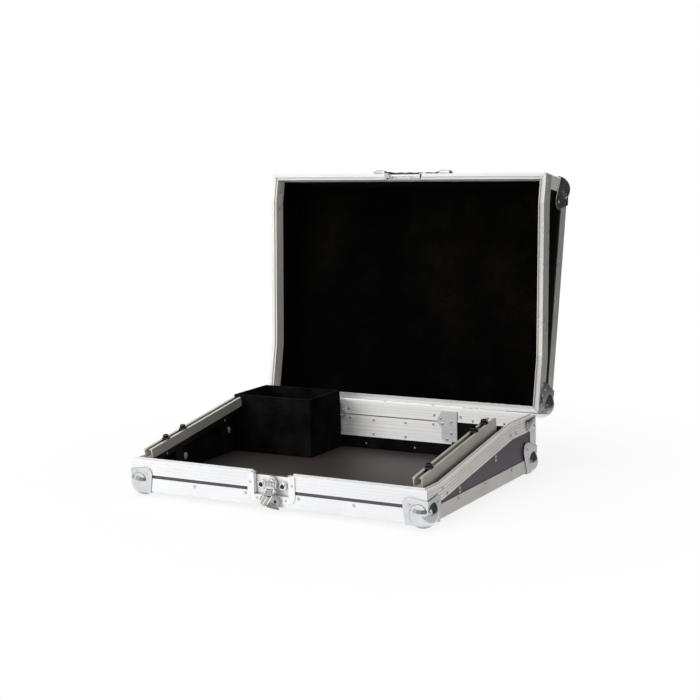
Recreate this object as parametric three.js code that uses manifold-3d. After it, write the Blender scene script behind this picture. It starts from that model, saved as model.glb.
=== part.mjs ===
// Slanted 19 inch flight case for a lighting controller, with its lid open on the stop hinges.
// Millimetres, +Z up. The front with the latch faces -Y, the hinges are at the rear.
// The case is drawn with its front face at y = 0 and the underside of the tray at z = 0.
// The whole is then moved so that its origin is under the middle of the open case.

import * as THREE from 'three';
import { mergeVertices } from 'three/addons/utils/BufferGeometryUtils.js';
import Module from 'manifold-3d';

const wasm = await Module();
wasm.setup();

// Case, measured over the aluminium
const caseWidth = 510;
const caseDepth = 378;
const closedHeight = 145;
const frontRimHeight = 50;
const rearRimShare = 88 / 145;
const rearRimHeight = closedHeight * rearRimShare;
const frontFlat = 48;
const rearFlat = 89;
const lidOpenAngle = THREE.MathUtils.degToRad(102);

// Walls and clearances
const ply = 7;
const sheet = 1.2;
const slack = 0.2;
const fit = 0.3;
const parting = 0.4;
const cutOverrun = 5;

// Rim extrusions, a channel that wraps the edge of the plywood
const rimFlange = 23;
const rimInnerFlange = 22;
const rimWeb = 3;
const tongueWidth = 2;
const tongueHeight = 1.6;
const tongueInset = 6;
const tongueClearance = 0.8;
const grooveWidth = 1.3;
const grooveDepth = 0.4;
const groovePitch = 4.6;

// Corner edging and ball corners
const edgeLeg = 22;
const edgeRound = 1.8;
const ballRadius = 22;
const ballProud = 8;
const cornerSheet = 1.2;
const bluntClearance = 2;
const smallPetal = { reach: 35, lobePlace: 27, lobeRadius: 12 };
const largePetal = { reach: 38, lobePlace: 37, lobeRadius: 13 };
const petalArc = THREE.MathUtils.degToRad(130);

// Rack rails
const railSpacing = 466;
const railWidth = 15;
const railHeight = 15;
const railWall = 1.8;
const railSlot = 6.6;
const railRise = 19;
const railSkirt = 12;
const railFrontEnd = 16;
const railRearEnd = 262;
const bracketWidth = 20;
const bracketSheet = 2;
const bracketDrop = 38;
const bracketPlaces = [104, 228];

// Rack screws with cup washers
const screwPlaces = { left: [63, 108], right: [52, 200, 235] };
const screwShank = 2.6;
const screwHead = 4.6;
const screwHeadHeight = 4.2;
const screwRoundShare = 2 / 3;
const washerRadius = 6.6;
const washerHeight = 2;
const washerLip = 0.6;
const slideNut = 9.4;
const slideNutHeight = 4;

// Cable compartment
const compartmentWidth = 148;
const compartmentFront = 267;
const compartmentTop = 105;
const compartmentWall = 5;
const compartmentClearance = 1;

// Cable hatch in the rear wall
const hatchWidth = 224;
const hatchSill = 28;
const hatchClearance = 0.8;
const hatchPinRadius = 1.2;
const hatchKnuckle = 2.6;
const hatchBore = 1.6;
const hatchHingeWidth = 200;
const hatchKnuckleWidth = 66;
const hatchLeafHeight = 15;
const hatchLeafGap = 2.7;
const hatchStopWidth = 37;
const hatchStopTip = 9;
const hatchStopSheet = 1.5;
const hatchStopRise = 18;
const hatchStopBottom = 33;

// Latch dish, its turning drum and its wing
const dishSheet = 1;
const dishPlateSheet = 1.2;
const dishWidth = 62;
const dishFlange = 10;
const dishBottom = 16;
const dishDepth = 8;
const dishPlateRound = 15;
const notchDepth = 5;
const notchChamfer = 4;
const bossRadius = 5;
const bossBore = 2.6;
const bossSpacing = 37;
const bossHeight = 6;
const bossPlace = 32;
const drumPlace = 34;
const drumRadius = 8;
const drumFront = 2.6;
const camReach = 12;
const camWidth = 9;
const camSheet = 3;
const wingPlateSheet = 1.6;
const wingPinRadius = 1.2;
const wingPinDrop = 9;
const wingPinGap = 0.6;
const wingBore = 1.5;
const wingKnuckle = 2.4;
const wingKnuckleWidth = 11;
const earSheet = 2;
const wingSheet = 1.4;
const wingLobeRadius = 8.5;
const wingLobeSpacing = 17;
const wingLobeDrop = 14.5;
const catchTop = 70;
const catchPlateTop = 73.2;
const catchBarHeight = 3;
const catchBarDepth = 3;
const catchBarRise = 8;

// Lid hinges
const hingeEndGap = 55;
const hingeWidth = 76;
const hingeSheet = 1.5;
const hingeBarrel = 3.2;
const hingePin = 1.6;
const hingeBore = 1.9;
const hingeOffset = 4.7;
const hingeDrop = 4;
const hingeMiddleKnuckle = 24;
const hingeLeaf = 42;

// Carrying handle on the front of the lid
const handleRimGap = 1.1;
const handleSpacing = 122;
const handlePlateWidth = 54;
const handlePlateHeight = 21;
const handlePlateSheet = 1.8;
const handleHousingWidth = 24;
const handleHousingHeight = 18;
const handleHousingProud = 12.8;
const handlePivotProud = 7.4;
const handleRod = 2.8;
const handleBore = 3.1;
const handleRodInsert = 15;
const handleReach = 25;
const gripRadius = 6.3;
const gripLength = 88;

// Values that follow from the sizes above
const rimWidth = ply + 2 * sheet + 2 * slack;
const panelInset = sheet + slack;
const floorTop = panelInset + ply;
const halfWidth = caseWidth / 2;
const slopeRun = caseDepth - frontFlat - rearFlat;
const slopeAngle = Math.atan2(rearRimHeight - frontRimHeight, slopeRun);
const rimInside = halfWidth - rimWidth;
const hingeSpacing = caseWidth - 2 * hingeEndGap - hingeWidth;
const handleHeight = frontRimHeight + parting + rimFlange + handleRimGap + handlePlateHeight / 2;
const pivotY = caseDepth + hingeOffset;
const pivotZ = rearRimHeight - hingeDrop;

// How finely round shapes are divided
const roundSteps = 24;
const fineSteps = 16;
const coarseSteps = 12;
const ballSteps = 20;
const petalSteps = 9;
const edgeSteps = 4;

// Materials
const finish = (color, roughness, metalness) => (
  new THREE.MeshStandardMaterial({ color, roughness, metalness }));
const panelFinish = () => finish(0x2b282c, 0.45, 0);
const liningFinish = () => finish(0x0d0d0e, 0.95, 0);
const aluminiumFinish = () => finish(0xc4c4c2, 0.4, 1);
const zincFinish = () => finish(0xb9bcc0, 0.22, 1);
const railFinish = () => finish(0xaeaba2, 0.42, 1);
const rubberFinish = () => finish(0x141415, 0.7, 0);
const blackSteelFinish = () => finish(0x0c0c0d, 0.35, 0.4);

// Turns a geometry into a solid, and a solid back into a geometry
function solidOf(geometry) {
  const bare = geometry.clone();
  bare.deleteAttribute('normal');
  bare.deleteAttribute('uv');
  const merged = mergeVertices(bare);
  const vertProperties = new Float32Array(merged.attributes.position.array);
  const triVerts = new Uint32Array(merged.index.array);
  return new wasm.Manifold(new wasm.Mesh({ numProp: 3, vertProperties, triVerts }));
}

function geometryOf(solid) {
  const mesh = solid.getMesh();
  const geometry = new THREE.BufferGeometry();
  geometry.setAttribute('position', new THREE.BufferAttribute(new Float32Array(mesh.vertProperties), 3));
  geometry.setIndex(new THREE.BufferAttribute(new Uint32Array(mesh.triVerts), 1));
  geometry.computeVertexNormals();
  return geometry;
}

const join = (first, ...others) => others.reduce((sum, other) => sum.add(other), first);
const cut = (first, ...others) => others.reduce((rest, other) => rest.subtract(other), first);

// Two bounds in rising order
const span = (a, b) => [Math.min(a, b), Math.max(a, b)];

// A block between two corners
function block(x0, x1, y0, y1, z0, z1) {
  const geometry = new THREE.BoxGeometry(x1 - x0, y1 - y0, z1 - z0);
  geometry.translate((x0 + x1) / 2, (y0 + y1) / 2, (z0 + z1) / 2);
  return solidOf(geometry);
}

// An outline drawn in the two other axes and drawn out along x, y or z
function prism(axis, shape, from, to) {
  const settings = { depth: to - from, bevelEnabled: false, curveSegments: fineSteps };
  const geometry = new THREE.ExtrudeGeometry(shape, settings);
  if (axis === 'y') {
    geometry.translate(0, 0, -to);
    geometry.rotateX(Math.PI / 2);
  } else {
    geometry.translate(0, 0, from);
    if (axis === 'x') {
      geometry.applyMatrix4(new THREE.Matrix4().makeBasis(
        new THREE.Vector3(0, 1, 0), new THREE.Vector3(0, 0, 1), new THREE.Vector3(1, 0, 0)));
    }
  }
  return solidOf(geometry);
}

const outline = (points) => new THREE.Shape(points.map(([u, v]) => new THREE.Vector2(u, v)));

// A round bar along x, y or z, with its centre at the two other coordinates
function rod(axis, radius, from, to, u, v, steps = roundSteps) {
  const geometry = new THREE.CylinderGeometry(radius, radius, to - from, steps);
  geometry.translate(0, (from + to) / 2, 0);
  if (axis === 'x') {
    geometry.rotateZ(-Math.PI / 2);
    geometry.translate(0, u, v);
  } else if (axis === 'y') {
    geometry.translate(u, 0, v);
  } else {
    geometry.rotateX(Math.PI / 2);
    geometry.translate(u, v, 0);
  }
  return solidOf(geometry);
}

// A section of [inward, up] points carried along stations. A station with a mitre leans the
// section along the run, so that two pieces meet on the diagonal of a corner.
function sweep(drawn, stations) {
  const clockwise = THREE.ShapeUtils.isClockWise(drawn.map(([inward, up]) => new THREE.Vector2(inward, up)));
  const section = clockwise ? [...drawn].reverse() : drawn;
  const count = section.length;
  const points = [];
  for (const station of stations) {
    for (const [inward, up] of section) {
      points.push(
        station.x + inward * (station.inward[0] + station.mitre * station.run[0]),
        station.y + inward * (station.inward[1] + station.mitre * station.run[1]),
        station.z + up,
      );
    }
  }
  const faces = [];
  for (let s = 0; s + 1 < stations.length; s += 1) {
    for (let i = 0; i < count; i += 1) {
      const j = (i + 1) % count;
      const a = s * count + i;
      const b = s * count + j;
      faces.push(a, b, b + count, a, b + count, a + count);
    }
  }
  const last = (stations.length - 1) * count;
  const flat = section.map(([inward, up]) => new THREE.Vector2(inward, up));
  for (const [a, b, c] of THREE.ShapeUtils.triangulateShape(flat, [])) {
    faces.push(a, c, b);
    faces.push(last + a, last + b, last + c);
  }
  if (signedVolume(points, faces) < 0) {
    for (let i = 0; i < faces.length; i += 3) {
      [faces[i], faces[i + 1]] = [faces[i + 1], faces[i]];
    }
  }
  const geometry = new THREE.BufferGeometry();
  geometry.setAttribute('position', new THREE.Float32BufferAttribute(points, 3));
  geometry.setIndex(faces);
  return solidOf(geometry);
}

function signedVolume(points, faces) {
  const corner = (i) => new THREE.Vector3().fromArray(points, 3 * i);
  let volume = 0;
  for (let i = 0; i < faces.length; i += 3) {
    volume += corner(faces[i]).dot(corner(faces[i + 1]).cross(corner(faces[i + 2])));
  }
  return volume;
}

// The four sides of the case. Each gives the stations of a run round the case at a level,
// where level(y) is the height of the run at a depth, and bends are the depths where it kinks.
const sideNames = ['front', 'rear', 'left', 'right'];

function stationsOf(side, level, bends) {
  if (side === 'front' || side === 'rear') {
    const y = side === 'front' ? 0 : caseDepth;
    const inward = side === 'front' ? [0, 1] : [0, -1];
    const at = (x, mitre) => ({ x, y, z: level(y), inward, run: [1, 0], mitre });
    return [at(-halfWidth + fit, 1), at(halfWidth - fit, -1)];
  }
  const x = side === 'left' ? -halfWidth : halfWidth;
  const inward = side === 'left' ? [1, 0] : [-1, 0];
  const at = (y, mitre) => ({ x, y, z: level(y), inward, run: [0, 1], mitre });
  return [at(fit, 1), ...bends.map((y) => at(y, 0)), at(caseDepth - fit, -1)];
}

const rimBends = [frontFlat, caseDepth - rearFlat];

function rimLevel(y) {
  const share = THREE.MathUtils.clamp((y - frontFlat) / slopeRun, 0, 1);
  return THREE.MathUtils.lerp(frontRimHeight, rearRimHeight, share);
}

// Points of a face from one height to another with the shallow grooves of the extrusion
function groovedFace(inward, outwardSign, from, to) {
  const direction = Math.sign(to - from);
  const length = Math.abs(to - from);
  const count = Math.max(0, Math.floor((length - groovePitch) / groovePitch));
  const start = (length - (count - 1) * groovePitch) / 2;
  const deep = inward - outwardSign * grooveDepth;
  const points = [[inward, from]];
  for (let i = 0; i < count; i += 1) {
    const middle = from + direction * (start + i * groovePitch);
    const half = direction * grooveWidth / 2;
    points.push([inward, middle - half], [deep, middle - half]);
    points.push([deep, middle + half], [inward, middle + half]);
  }
  points.push([inward, to]);
  return points;
}

// The channel of the rims, drawn downwards from the rim's face. The tray's has a tongue
// on its face, the lid's a groove that takes it.
function rimSection(withTongue) {
  const up = withTongue ? 1 : -1;
  const face = withTongue
    ? [[tongueInset + tongueWidth, 0], [tongueInset + tongueWidth, tongueHeight],
      [tongueInset, tongueHeight], [tongueInset, 0]]
    : [[tongueInset + tongueWidth + tongueClearance, 0],
      [tongueInset + tongueWidth + tongueClearance, -(tongueHeight + tongueClearance)],
      [tongueInset - tongueClearance, -(tongueHeight + tongueClearance)],
      [tongueInset - tongueClearance, 0]];
  const points = [
    ...groovedFace(0, -1, 0, -rimFlange),
    [sheet, -rimFlange],
    [sheet, -rimWeb],
    [rimWidth - sheet, -rimWeb],
    [rimWidth - sheet, -rimInnerFlange],
    ...groovedFace(rimWidth, 1, -rimInnerFlange, 0),
    ...face,
  ];
  return points.map(([inward, height]) => [inward, up * height]);
}

// The angle that covers a corner between two panels
function angleSection(up) {
  const arc = [];
  for (let i = 0; i <= edgeSteps; i += 1) {
    const turn = (i / edgeSteps) * Math.PI / 2;
    arc.push([edgeRound * (1 - Math.cos(turn)), edgeRound * (1 - Math.sin(turn))]);
  }
  const points = [[0, edgeLeg], ...arc, [edgeLeg, 0], [edgeLeg, sheet], [sheet, sheet], [sheet, edgeLeg]];
  return points.map(([inward, height]) => [inward, up * height]);
}

// A short upright angle at one corner of the case, joined to the run along the same face.
// Its foot stands clear of the run along the other face.
function cornerPost(x, y, from, to) {
  const inX = -Math.sign(x);
  const inY = y > 0 ? -1 : 1;
  const up = Math.sign(to - from);
  const height = span(from + up * fit, to);
  return join(
    block(...span(x, x + inX * edgeLeg), ...span(y, y + inY * sheet), ...height),
    block(...span(x, x + inX * sheet), ...span(y, y + inY * edgeLeg), ...height),
    block(...span(x + inX * 2 * edgeRound, x + inX * edgeLeg), ...span(y, y + inY * sheet),
      ...span(from - up * sheet, to)),
  );
}

// Assembly helpers
const object = new THREE.Group();
const tray = new THREE.Group();
const lidSwing = new THREE.Group();
const lid = new THREE.Group();
object.add(tray, lidSwing);
lidSwing.add(lid);
lidSwing.position.set(0, pivotY, pivotZ);
lidSwing.rotation.x = -lidOpenAngle;
lid.position.set(0, -pivotY, -pivotZ);

function add(group, name, solid, material) {
  const mesh = new THREE.Mesh(geometryOf(solid), material);
  mesh.name = name;
  group.add(mesh);
  return mesh;
}

// Panels of laminated plywood
function traySidePanel(side) {
  const outer = halfWidth - panelInset;
  const [x0, x1] = side === 'left' ? [-outer, -outer + ply] : [outer - ply, outer];
  const low = floorTop + fit;
  const under = rimWeb + fit;
  const shape = outline([
    [panelInset, low],
    [caseDepth - panelInset, low],
    [caseDepth - panelInset, rearRimHeight - under],
    [caseDepth - rearFlat, rearRimHeight - under],
    [frontFlat, frontRimHeight - under],
    [panelInset, frontRimHeight - under],
  ]);
  return prism('x', shape, x0, x1);
}

function lidSidePanel(side) {
  const outer = halfWidth - panelInset;
  const [x0, x1] = side === 'left' ? [-outer, -outer + ply] : [outer - ply, outer];
  const high = closedHeight - floorTop - fit;
  const above = parting + rimWeb + fit;
  const shape = outline([
    [panelInset, frontRimHeight + above],
    [frontFlat, frontRimHeight + above],
    [caseDepth - rearFlat, rearRimHeight + above],
    [caseDepth - panelInset, rearRimHeight + above],
    [caseDepth - panelInset, high],
    [panelInset, high],
  ]);
  return prism('x', shape, x0, x1);
}

function crossPanel(place, from, to) {
  const reach = halfWidth - panelInset - ply - fit;
  const [y0, y1] = place === 'front'
    ? [panelInset, panelInset + ply]
    : [caseDepth - panelInset - ply, caseDepth - panelInset];
  return block(-reach, reach, y0, y1, from, to);
}

function levelPanel(from) {
  const reach = halfWidth - panelInset;
  return block(-reach, reach, panelInset, caseDepth - panelInset, from, from + ply);
}

// Cut-outs for the latch dish and its catch, and for the hatch
const dishHalf = dishWidth / 2;

function dishCut(from, to) {
  return block(-dishHalf - fit, dishHalf + fit, -cutOverrun, dishDepth + fit, from, to);
}

function notchCut(level, up) {
  const shape = outline([
    [-dishHalf - notchChamfer, level + up * cutOverrun],
    [-dishHalf - notchChamfer, level],
    [-dishHalf, level - up * notchDepth],
    [dishHalf, level - up * notchDepth],
    [dishHalf + notchChamfer, level],
    [dishHalf + notchChamfer, level + up * cutOverrun],
  ]);
  return prism('y', shape, -cutOverrun, rimWidth + cutOverrun);
}

const hatchHead = rearRimHeight - rimFlange;
const hatchHalf = hatchWidth / 2;

function hatchCut() {
  const inner = caseDepth - panelInset - ply - cutOverrun;
  return block(-hatchHalf, hatchHalf, inner, caseDepth + cutOverrun, hatchSill, hatchHead);
}

// Tray
function addTrayPanels() {
  add(tray, 'base_floor_panel', bluntedTray(levelPanel(panelInset)), panelFinish());
  add(tray, 'base_left_panel', bluntedTray(traySidePanel('left')), panelFinish());
  add(tray, 'base_right_panel', bluntedTray(traySidePanel('right')), panelFinish());
  const under = rimWeb + fit;
  const front = crossPanel('front', floorTop + fit, frontRimHeight - under);
  const rear = crossPanel('rear', floorTop + fit, rearRimHeight - under);
  add(tray, 'base_front_panel', cut(front, dishCut(dishBottom - fit, closedHeight)), panelFinish());
  add(tray, 'base_rear_panel', cut(rear, hatchCut()), panelFinish());
}

function addTrayRims() {
  for (const side of sideNames) {
    let rim = sweep(rimSection(true), stationsOf(side, rimLevel, rimBends));
    if (side === 'front') {
      rim = cut(rim, dishCut(0, closedHeight), notchCut(frontRimHeight, 1));
    }
    add(tray, `base_rim_${side}`, rim, aluminiumFinish());
  }
}

function addTrayEdges() {
  for (const side of sideNames) {
    let edge = sweep(angleSection(1), stationsOf(side, () => 0, []));
    if (side === 'front' || side === 'rear') {
      const y = side === 'front' ? 0 : caseDepth;
      const top = rimLevel(y) - rimFlange - fit;
      for (const x of [-halfWidth, halfWidth]) {
        edge = join(edge, cornerPost(x, y, edgeLeg, top));
      }
    }
    if (side === 'front') {
      edge = cut(edge, dishCut(dishBottom - fit, edgeLeg + cutOverrun));
    }
    add(tray, `base_edge_${side}`, bluntedTray(edge), aluminiumFinish());
  }
}

// One ball corner, drawn at an outer corner of a box that fills x, y and z above zero.
// It is a hollow ball over the blunted corner of the case, with a petal on each face.
// The petals are folded from one sheet, so each pair joins along the edge between its faces.
const ballCentre = ballRadius - ballProud;

function ball(radius, around, upright) {
  const sphere = new THREE.SphereGeometry(radius, around, upright);
  sphere.translate(ballCentre, ballCentre, ballCentre);
  return solidOf(sphere);
}

function cornerRegion() {
  return block(-ballRadius, ballCentre, -ballRadius, ballCentre, -ballRadius, ballCentre);
}

function ballCorner(petalSize) {
  const x = new THREE.Vector3(1, 0, 0);
  const y = new THREE.Vector3(0, 1, 0);
  const z = new THREE.Vector3(0, 0, 1);
  const out = -(cornerSheet + fit);
  const petals = [[x, y, z], [y, z, x], [z, x, y]].map((basis) => {
    const petal = geometryOf(prism('z', outline(petalPoints(petalSize, out)), out, -fit));
    petal.applyMatrix4(new THREE.Matrix4().makeBasis(...basis));
    return solidOf(petal);
  });
  const outerBall = ball(ballRadius, ballSteps, coarseSteps);
  const innerBall = ball(ballRadius - cornerSheet, coarseSteps, coarseSteps / 2);
  const size = 2 * (petalSize.lobePlace + petalSize.lobeRadius);
  const inside = block(-fit, size, -fit, size, -fit, size);
  const hollow = join(cut(inside, cornerRegion()), inside.intersect(innerBall));
  const outside = cut(cornerRegion(), outerBall);
  return cut(join(outerBall, ...petals), hollow, outside);
}

// The outline of a petal: straight off the two edges of its face, with a round lobe on the diagonal
function petalPoints({ reach, lobePlace, lobeRadius }, edge) {
  const points = [[edge, edge], [reach, edge], [reach, 0]];
  for (let i = 0; i <= petalSteps; i += 1) {
    const turn = Math.PI / 4 + (i / petalSteps - 1 / 2) * petalArc;
    points.push([lobePlace + lobeRadius * Math.cos(turn), lobePlace + lobeRadius * Math.sin(turn)]);
  }
  points.push([0, reach], [edge, reach]);
  return points;
}

// Blunts the corners of a piece of the case where the ball corners sit
function blunted(solid, level, up) {
  let rest = solid;
  for (const x of [-halfWidth, halfWidth]) {
    for (const y of [0, caseDepth]) {
      const core = ball(ballRadius - cornerSheet - bluntClearance, coarseSteps, coarseSteps / 2);
      const tool = geometryOf(cut(cornerRegion(), core));
      const inX = -Math.sign(x);
      const inY = y > 0 ? -1 : 1;
      const placed = new THREE.Matrix4().makeScale(inX, inY, up).setPosition(x, y, level);
      tool.applyMatrix4(placed);
      if (inX * inY * up < 0) {
        tool.index.array.reverse();
      }
      rest = cut(rest, solidOf(tool));
    }
  }
  return rest;
}

const bluntedTray = (solid) => blunted(solid, 0, 1);
const bluntedLid = (solid) => blunted(solid, closedHeight, -1);

function addBallCorners(group, prefix, level, upsideDown) {
  const quarter = Math.PI / 2;
  const corners = [
    ['front_left', -halfWidth, 0, 0],
    ['front_right', halfWidth, 0, 1],
    ['rear_right', halfWidth, caseDepth, 2],
    ['rear_left', -halfWidth, caseDepth, 3],
  ];
  for (const [name, x, y, turns] of corners) {
    const petal = prefix === 'base' && y === 0 ? smallPetal : largePetal;
    const corner = add(group, `${prefix}_ball_corner_${name}`, ballCorner(petal), zincFinish());
    corner.position.set(x, y, level);
    if (upsideDown) {
      corner.rotation.set(0, Math.PI / 2, turns * quarter, 'ZYX');
    } else {
      corner.rotation.set(0, 0, turns * quarter);
    }
  }
}

// Rack rails, drawn in a group that leans with the slope. There y runs along the rail and
// z = 0 is the plane of the sloping rim.
function railSolid(sign) {
  const half = railWidth / 2;
  const inner = half - railWall;
  const lip = railSlot / 2;
  const low = railRise - railHeight;
  const section = outline([
    [-half, low], [half, low], [half, railRise], [lip, railRise], [lip, railRise - railWall],
    [inner, railRise - railWall], [inner, low + railWall], [-inner, low + railWall],
    [-inner, railRise - railWall], [-lip, railRise - railWall], [-lip, railRise], [-half, railRise],
  ]);
  const along = (y) => (y - frontFlat) / Math.cos(slopeAngle);
  const ends = [along(railFrontEnd), along(railRearEnd)];
  const skirt = block(...span(sign * inner, sign * half), ...ends, -railSkirt, low + railWall / 2);
  let rail = join(prism('y', section, ...ends), skirt);
  const wall = rimInside - fit - railSpacing / 2;
  for (const place of bracketPlaces) {
    const y0 = along(place) - bracketWidth / 2;
    const y1 = y0 + bracketWidth;
    const leg = span(sign * (wall - bracketSheet), sign * wall);
    const shelf = span(sign * inner, sign * wall);
    const shelfTop = bracketSheet - railSkirt;
    rail = join(
      rail,
      block(...leg, y0, y1, -bracketDrop, shelfTop),
      block(...shelf, y0, y1, -railSkirt, shelfTop),
    );
  }
  return rail;
}

function rackScrew() {
  const under = railRise - railWall - fit - slideNutHeight;
  const top = railRise + fit;
  const profile = [
    [0, under],
    [screwShank, under],
    [screwShank, top],
    [washerRadius - washerLip, top],
    [washerRadius, top + washerLip],
    [washerRadius, top + washerHeight - washerLip],
    [washerRadius - washerLip, top + washerHeight],
    [screwHead, top + washerHeight],
    [screwHead, top + washerHeight + screwHeadHeight * screwRoundShare],
    [screwHead * screwRoundShare, top + washerHeight + screwHeadHeight],
    [0, top + washerHeight + screwHeadHeight],
  ];
  const turned = new THREE.LatheGeometry(profile.map(([r, h]) => new THREE.Vector2(r, h)), coarseSteps);
  turned.rotateX(Math.PI / 2);
  const half = slideNut / 2;
  return join(solidOf(turned), block(-half, half, -half, half, under, under + slideNutHeight));
}

function addRails() {
  for (const [side, sign] of [['left', -1], ['right', 1]]) {
    const lean = new THREE.Group();
    lean.position.set(sign * railSpacing / 2, frontFlat, frontRimHeight);
    lean.rotation.x = slopeAngle;
    tray.add(lean);
    add(lean, `rack_rail_${side}`, railSolid(sign), railFinish());
    screwPlaces[side].forEach((place, i) => {
      const screw = add(lean, `rack_screw_${side}_${i + 1}`, rackScrew(), blackSteelFinish());
      screw.position.y = (place - frontFlat) / Math.cos(slopeAngle);
    });
  }
}

// Open box for the cables
function addCompartment() {
  const x0 = -rimInside + compartmentClearance;
  const x1 = x0 + compartmentWidth;
  const y1 = caseDepth - rimWidth - fit - hatchStopSheet - compartmentClearance;
  const z0 = floorTop + fit;
  const wall = compartmentWall;
  const outer = block(x0, x1, compartmentFront, y1, z0, compartmentTop);
  const inner = block(x0 + wall, x1 - wall, compartmentFront + wall, y1 - wall, z0 + wall, closedHeight);
  add(tray, 'cable_compartment', cut(outer, inner), liningFinish());
}

// Cable hatch: a strip of panel between two channels, hinged along its lower edge
function channel(from, to) {
  const up = Math.sign(to - from);
  const y0 = caseDepth - rimWidth;
  const reach = hatchHalf - hatchClearance;
  const section = [
    ...groovedFace(0, -1, to, from).map(([inward, height]) => [caseDepth - inward, height]),
    ...groovedFace(rimWidth, 1, from, to).map(([inward, height]) => [caseDepth - inward, height]),
    [y0 + sheet, to],
    [y0 + sheet, from + up * rimWeb],
    [caseDepth - sheet, from + up * rimWeb],
    [caseDepth - sheet, to],
  ];
  const [low, high] = span(-reach, reach);
  return prism('x', outline(section), low, high);
}

const hatchPinY = caseDepth + hatchKnuckle;
const hatchLow = hatchSill + hatchClearance;
const hatchHigh = hatchHead - hatchClearance;

function addHatch() {
  const middle = (hatchLow + hatchHigh) / 2;
  const reach = hatchHalf - hatchClearance;
  const core = block(-reach, reach, caseDepth - panelInset - ply, caseDepth - panelInset,
    hatchLow + rimWeb + fit, hatchHigh - rimWeb - fit);
  add(tray, 'hatch_panel', core, panelFinish());
  add(tray, 'hatch_channel_upper', channel(hatchHigh, middle + fit / 2), aluminiumFinish());

  const half = hatchKnuckleWidth / 2;
  const flapLeaf = block(-half, half, caseDepth - sheet, caseDepth + sheet,
    hatchLow, middle - hatchLeafGap);
  const flapKnuckle = join(
    rod('x', hatchKnuckle, -half, half, hatchPinY, hatchSill),
    block(-half, half, caseDepth, hatchPinY, hatchSill, hatchLow + hatchKnuckle),
  );
  const bore = rod('x', hatchBore, -half - cutOverrun, half + cutOverrun, hatchPinY, hatchSill);
  const lower = cut(join(channel(hatchLow, middle - fit / 2), flapLeaf, flapKnuckle), bore);
  add(tray, 'hatch_channel_lower', lower, aluminiumFinish());

  const wide = hatchHingeWidth / 2;
  const leafTop = hatchSill - hatchKnuckle - fit;
  let leaf = block(-wide, wide, caseDepth, caseDepth + sheet, leafTop - hatchLeafHeight, leafTop);
  leaf = join(leaf, rod('x', hatchPinRadius, -wide, wide, hatchPinY, hatchSill, fineSteps));
  for (const sign of [-1, 1]) {
    const [x0, x1] = span(sign * (half + fit), sign * wide);
    leaf = join(
      leaf,
      rod('x', hatchKnuckle, x0, x1, hatchPinY, hatchSill),
      block(x0, x1, caseDepth, hatchPinY, leafTop - sheet, hatchSill),
    );
  }
  add(tray, 'hatch_hinge_leaf', leaf, zincFinish());

  for (const [side, sign] of [['left', -1], ['right', 1]]) {
    const tip = hatchHalf - (hatchStopWidth - hatchStopTip - sheet);
    const outer = tip + hatchStopWidth;
    const top = hatchHead + hatchStopRise;
    const points = [
      [tip, hatchHead + fit],
      [tip + hatchStopTip, hatchHead - hatchStopTip],
      [tip + hatchStopTip, hatchStopBottom + hatchStopTip / 2],
      [tip + 1.5 * hatchStopTip, hatchStopBottom],
      [outer, hatchStopBottom],
      [outer, top],
      [tip + hatchStopTip, top],
      [tip + hatchStopTip / 2, hatchHead + hatchStopTip],
    ].map(([x, z]) => [sign * x, z]);
    const y1 = caseDepth - rimWidth - fit;
    add(tray, `hatch_stop_${side}`, prism('y', outline(points), y1 - hatchStopSheet, y1), zincFinish());
  }
}

// A dish with a flanged plate in front, open towards the parting line
function dish(closedEnd, openEnd, plateEnd, plateOpenEnd) {
  const up = Math.sign(openEnd - closedEnd);
  const half = dishHalf;
  const outerHalf = half + dishFlange;
  const shell = block(-half, half, -dishPlateSheet, dishDepth, ...span(closedEnd, openEnd));
  const hollow = block(-half + dishSheet, half - dishSheet, -cutOverrun, dishDepth - dishSheet,
    ...span(closedEnd + up * dishSheet, openEnd + up * cutOverrun));
  const lowered = block(-half - cutOverrun, half + cutOverrun,
    dishDepth - dishSheet - fit, dishDepth + cutOverrun,
    ...span(openEnd - up * notchDepth, openEnd + up * cutOverrun));
  const round = Math.min(dishPlateRound, dishFlange + Math.abs(closedEnd - plateEnd));
  const plate = new THREE.Shape();
  plate.moveTo(-outerHalf, plateOpenEnd);
  plate.lineTo(-outerHalf, plateEnd + up * round);
  plate.quadraticCurveTo(-outerHalf, plateEnd, -outerHalf + round, plateEnd);
  plate.lineTo(outerHalf - round, plateEnd);
  plate.quadraticCurveTo(outerHalf, plateEnd, outerHalf, plateEnd + up * round);
  plate.lineTo(outerHalf, plateOpenEnd);
  const flange = prism('y', plate, -dishPlateSheet, 0);
  return cut(join(cut(shell, lowered), flange), hollow);
}

const wingPinY = -(drumFront + wingPlateSheet + wingPinGap + wingPinRadius);
const wingPinZ = drumPlace - wingPinDrop;

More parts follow.
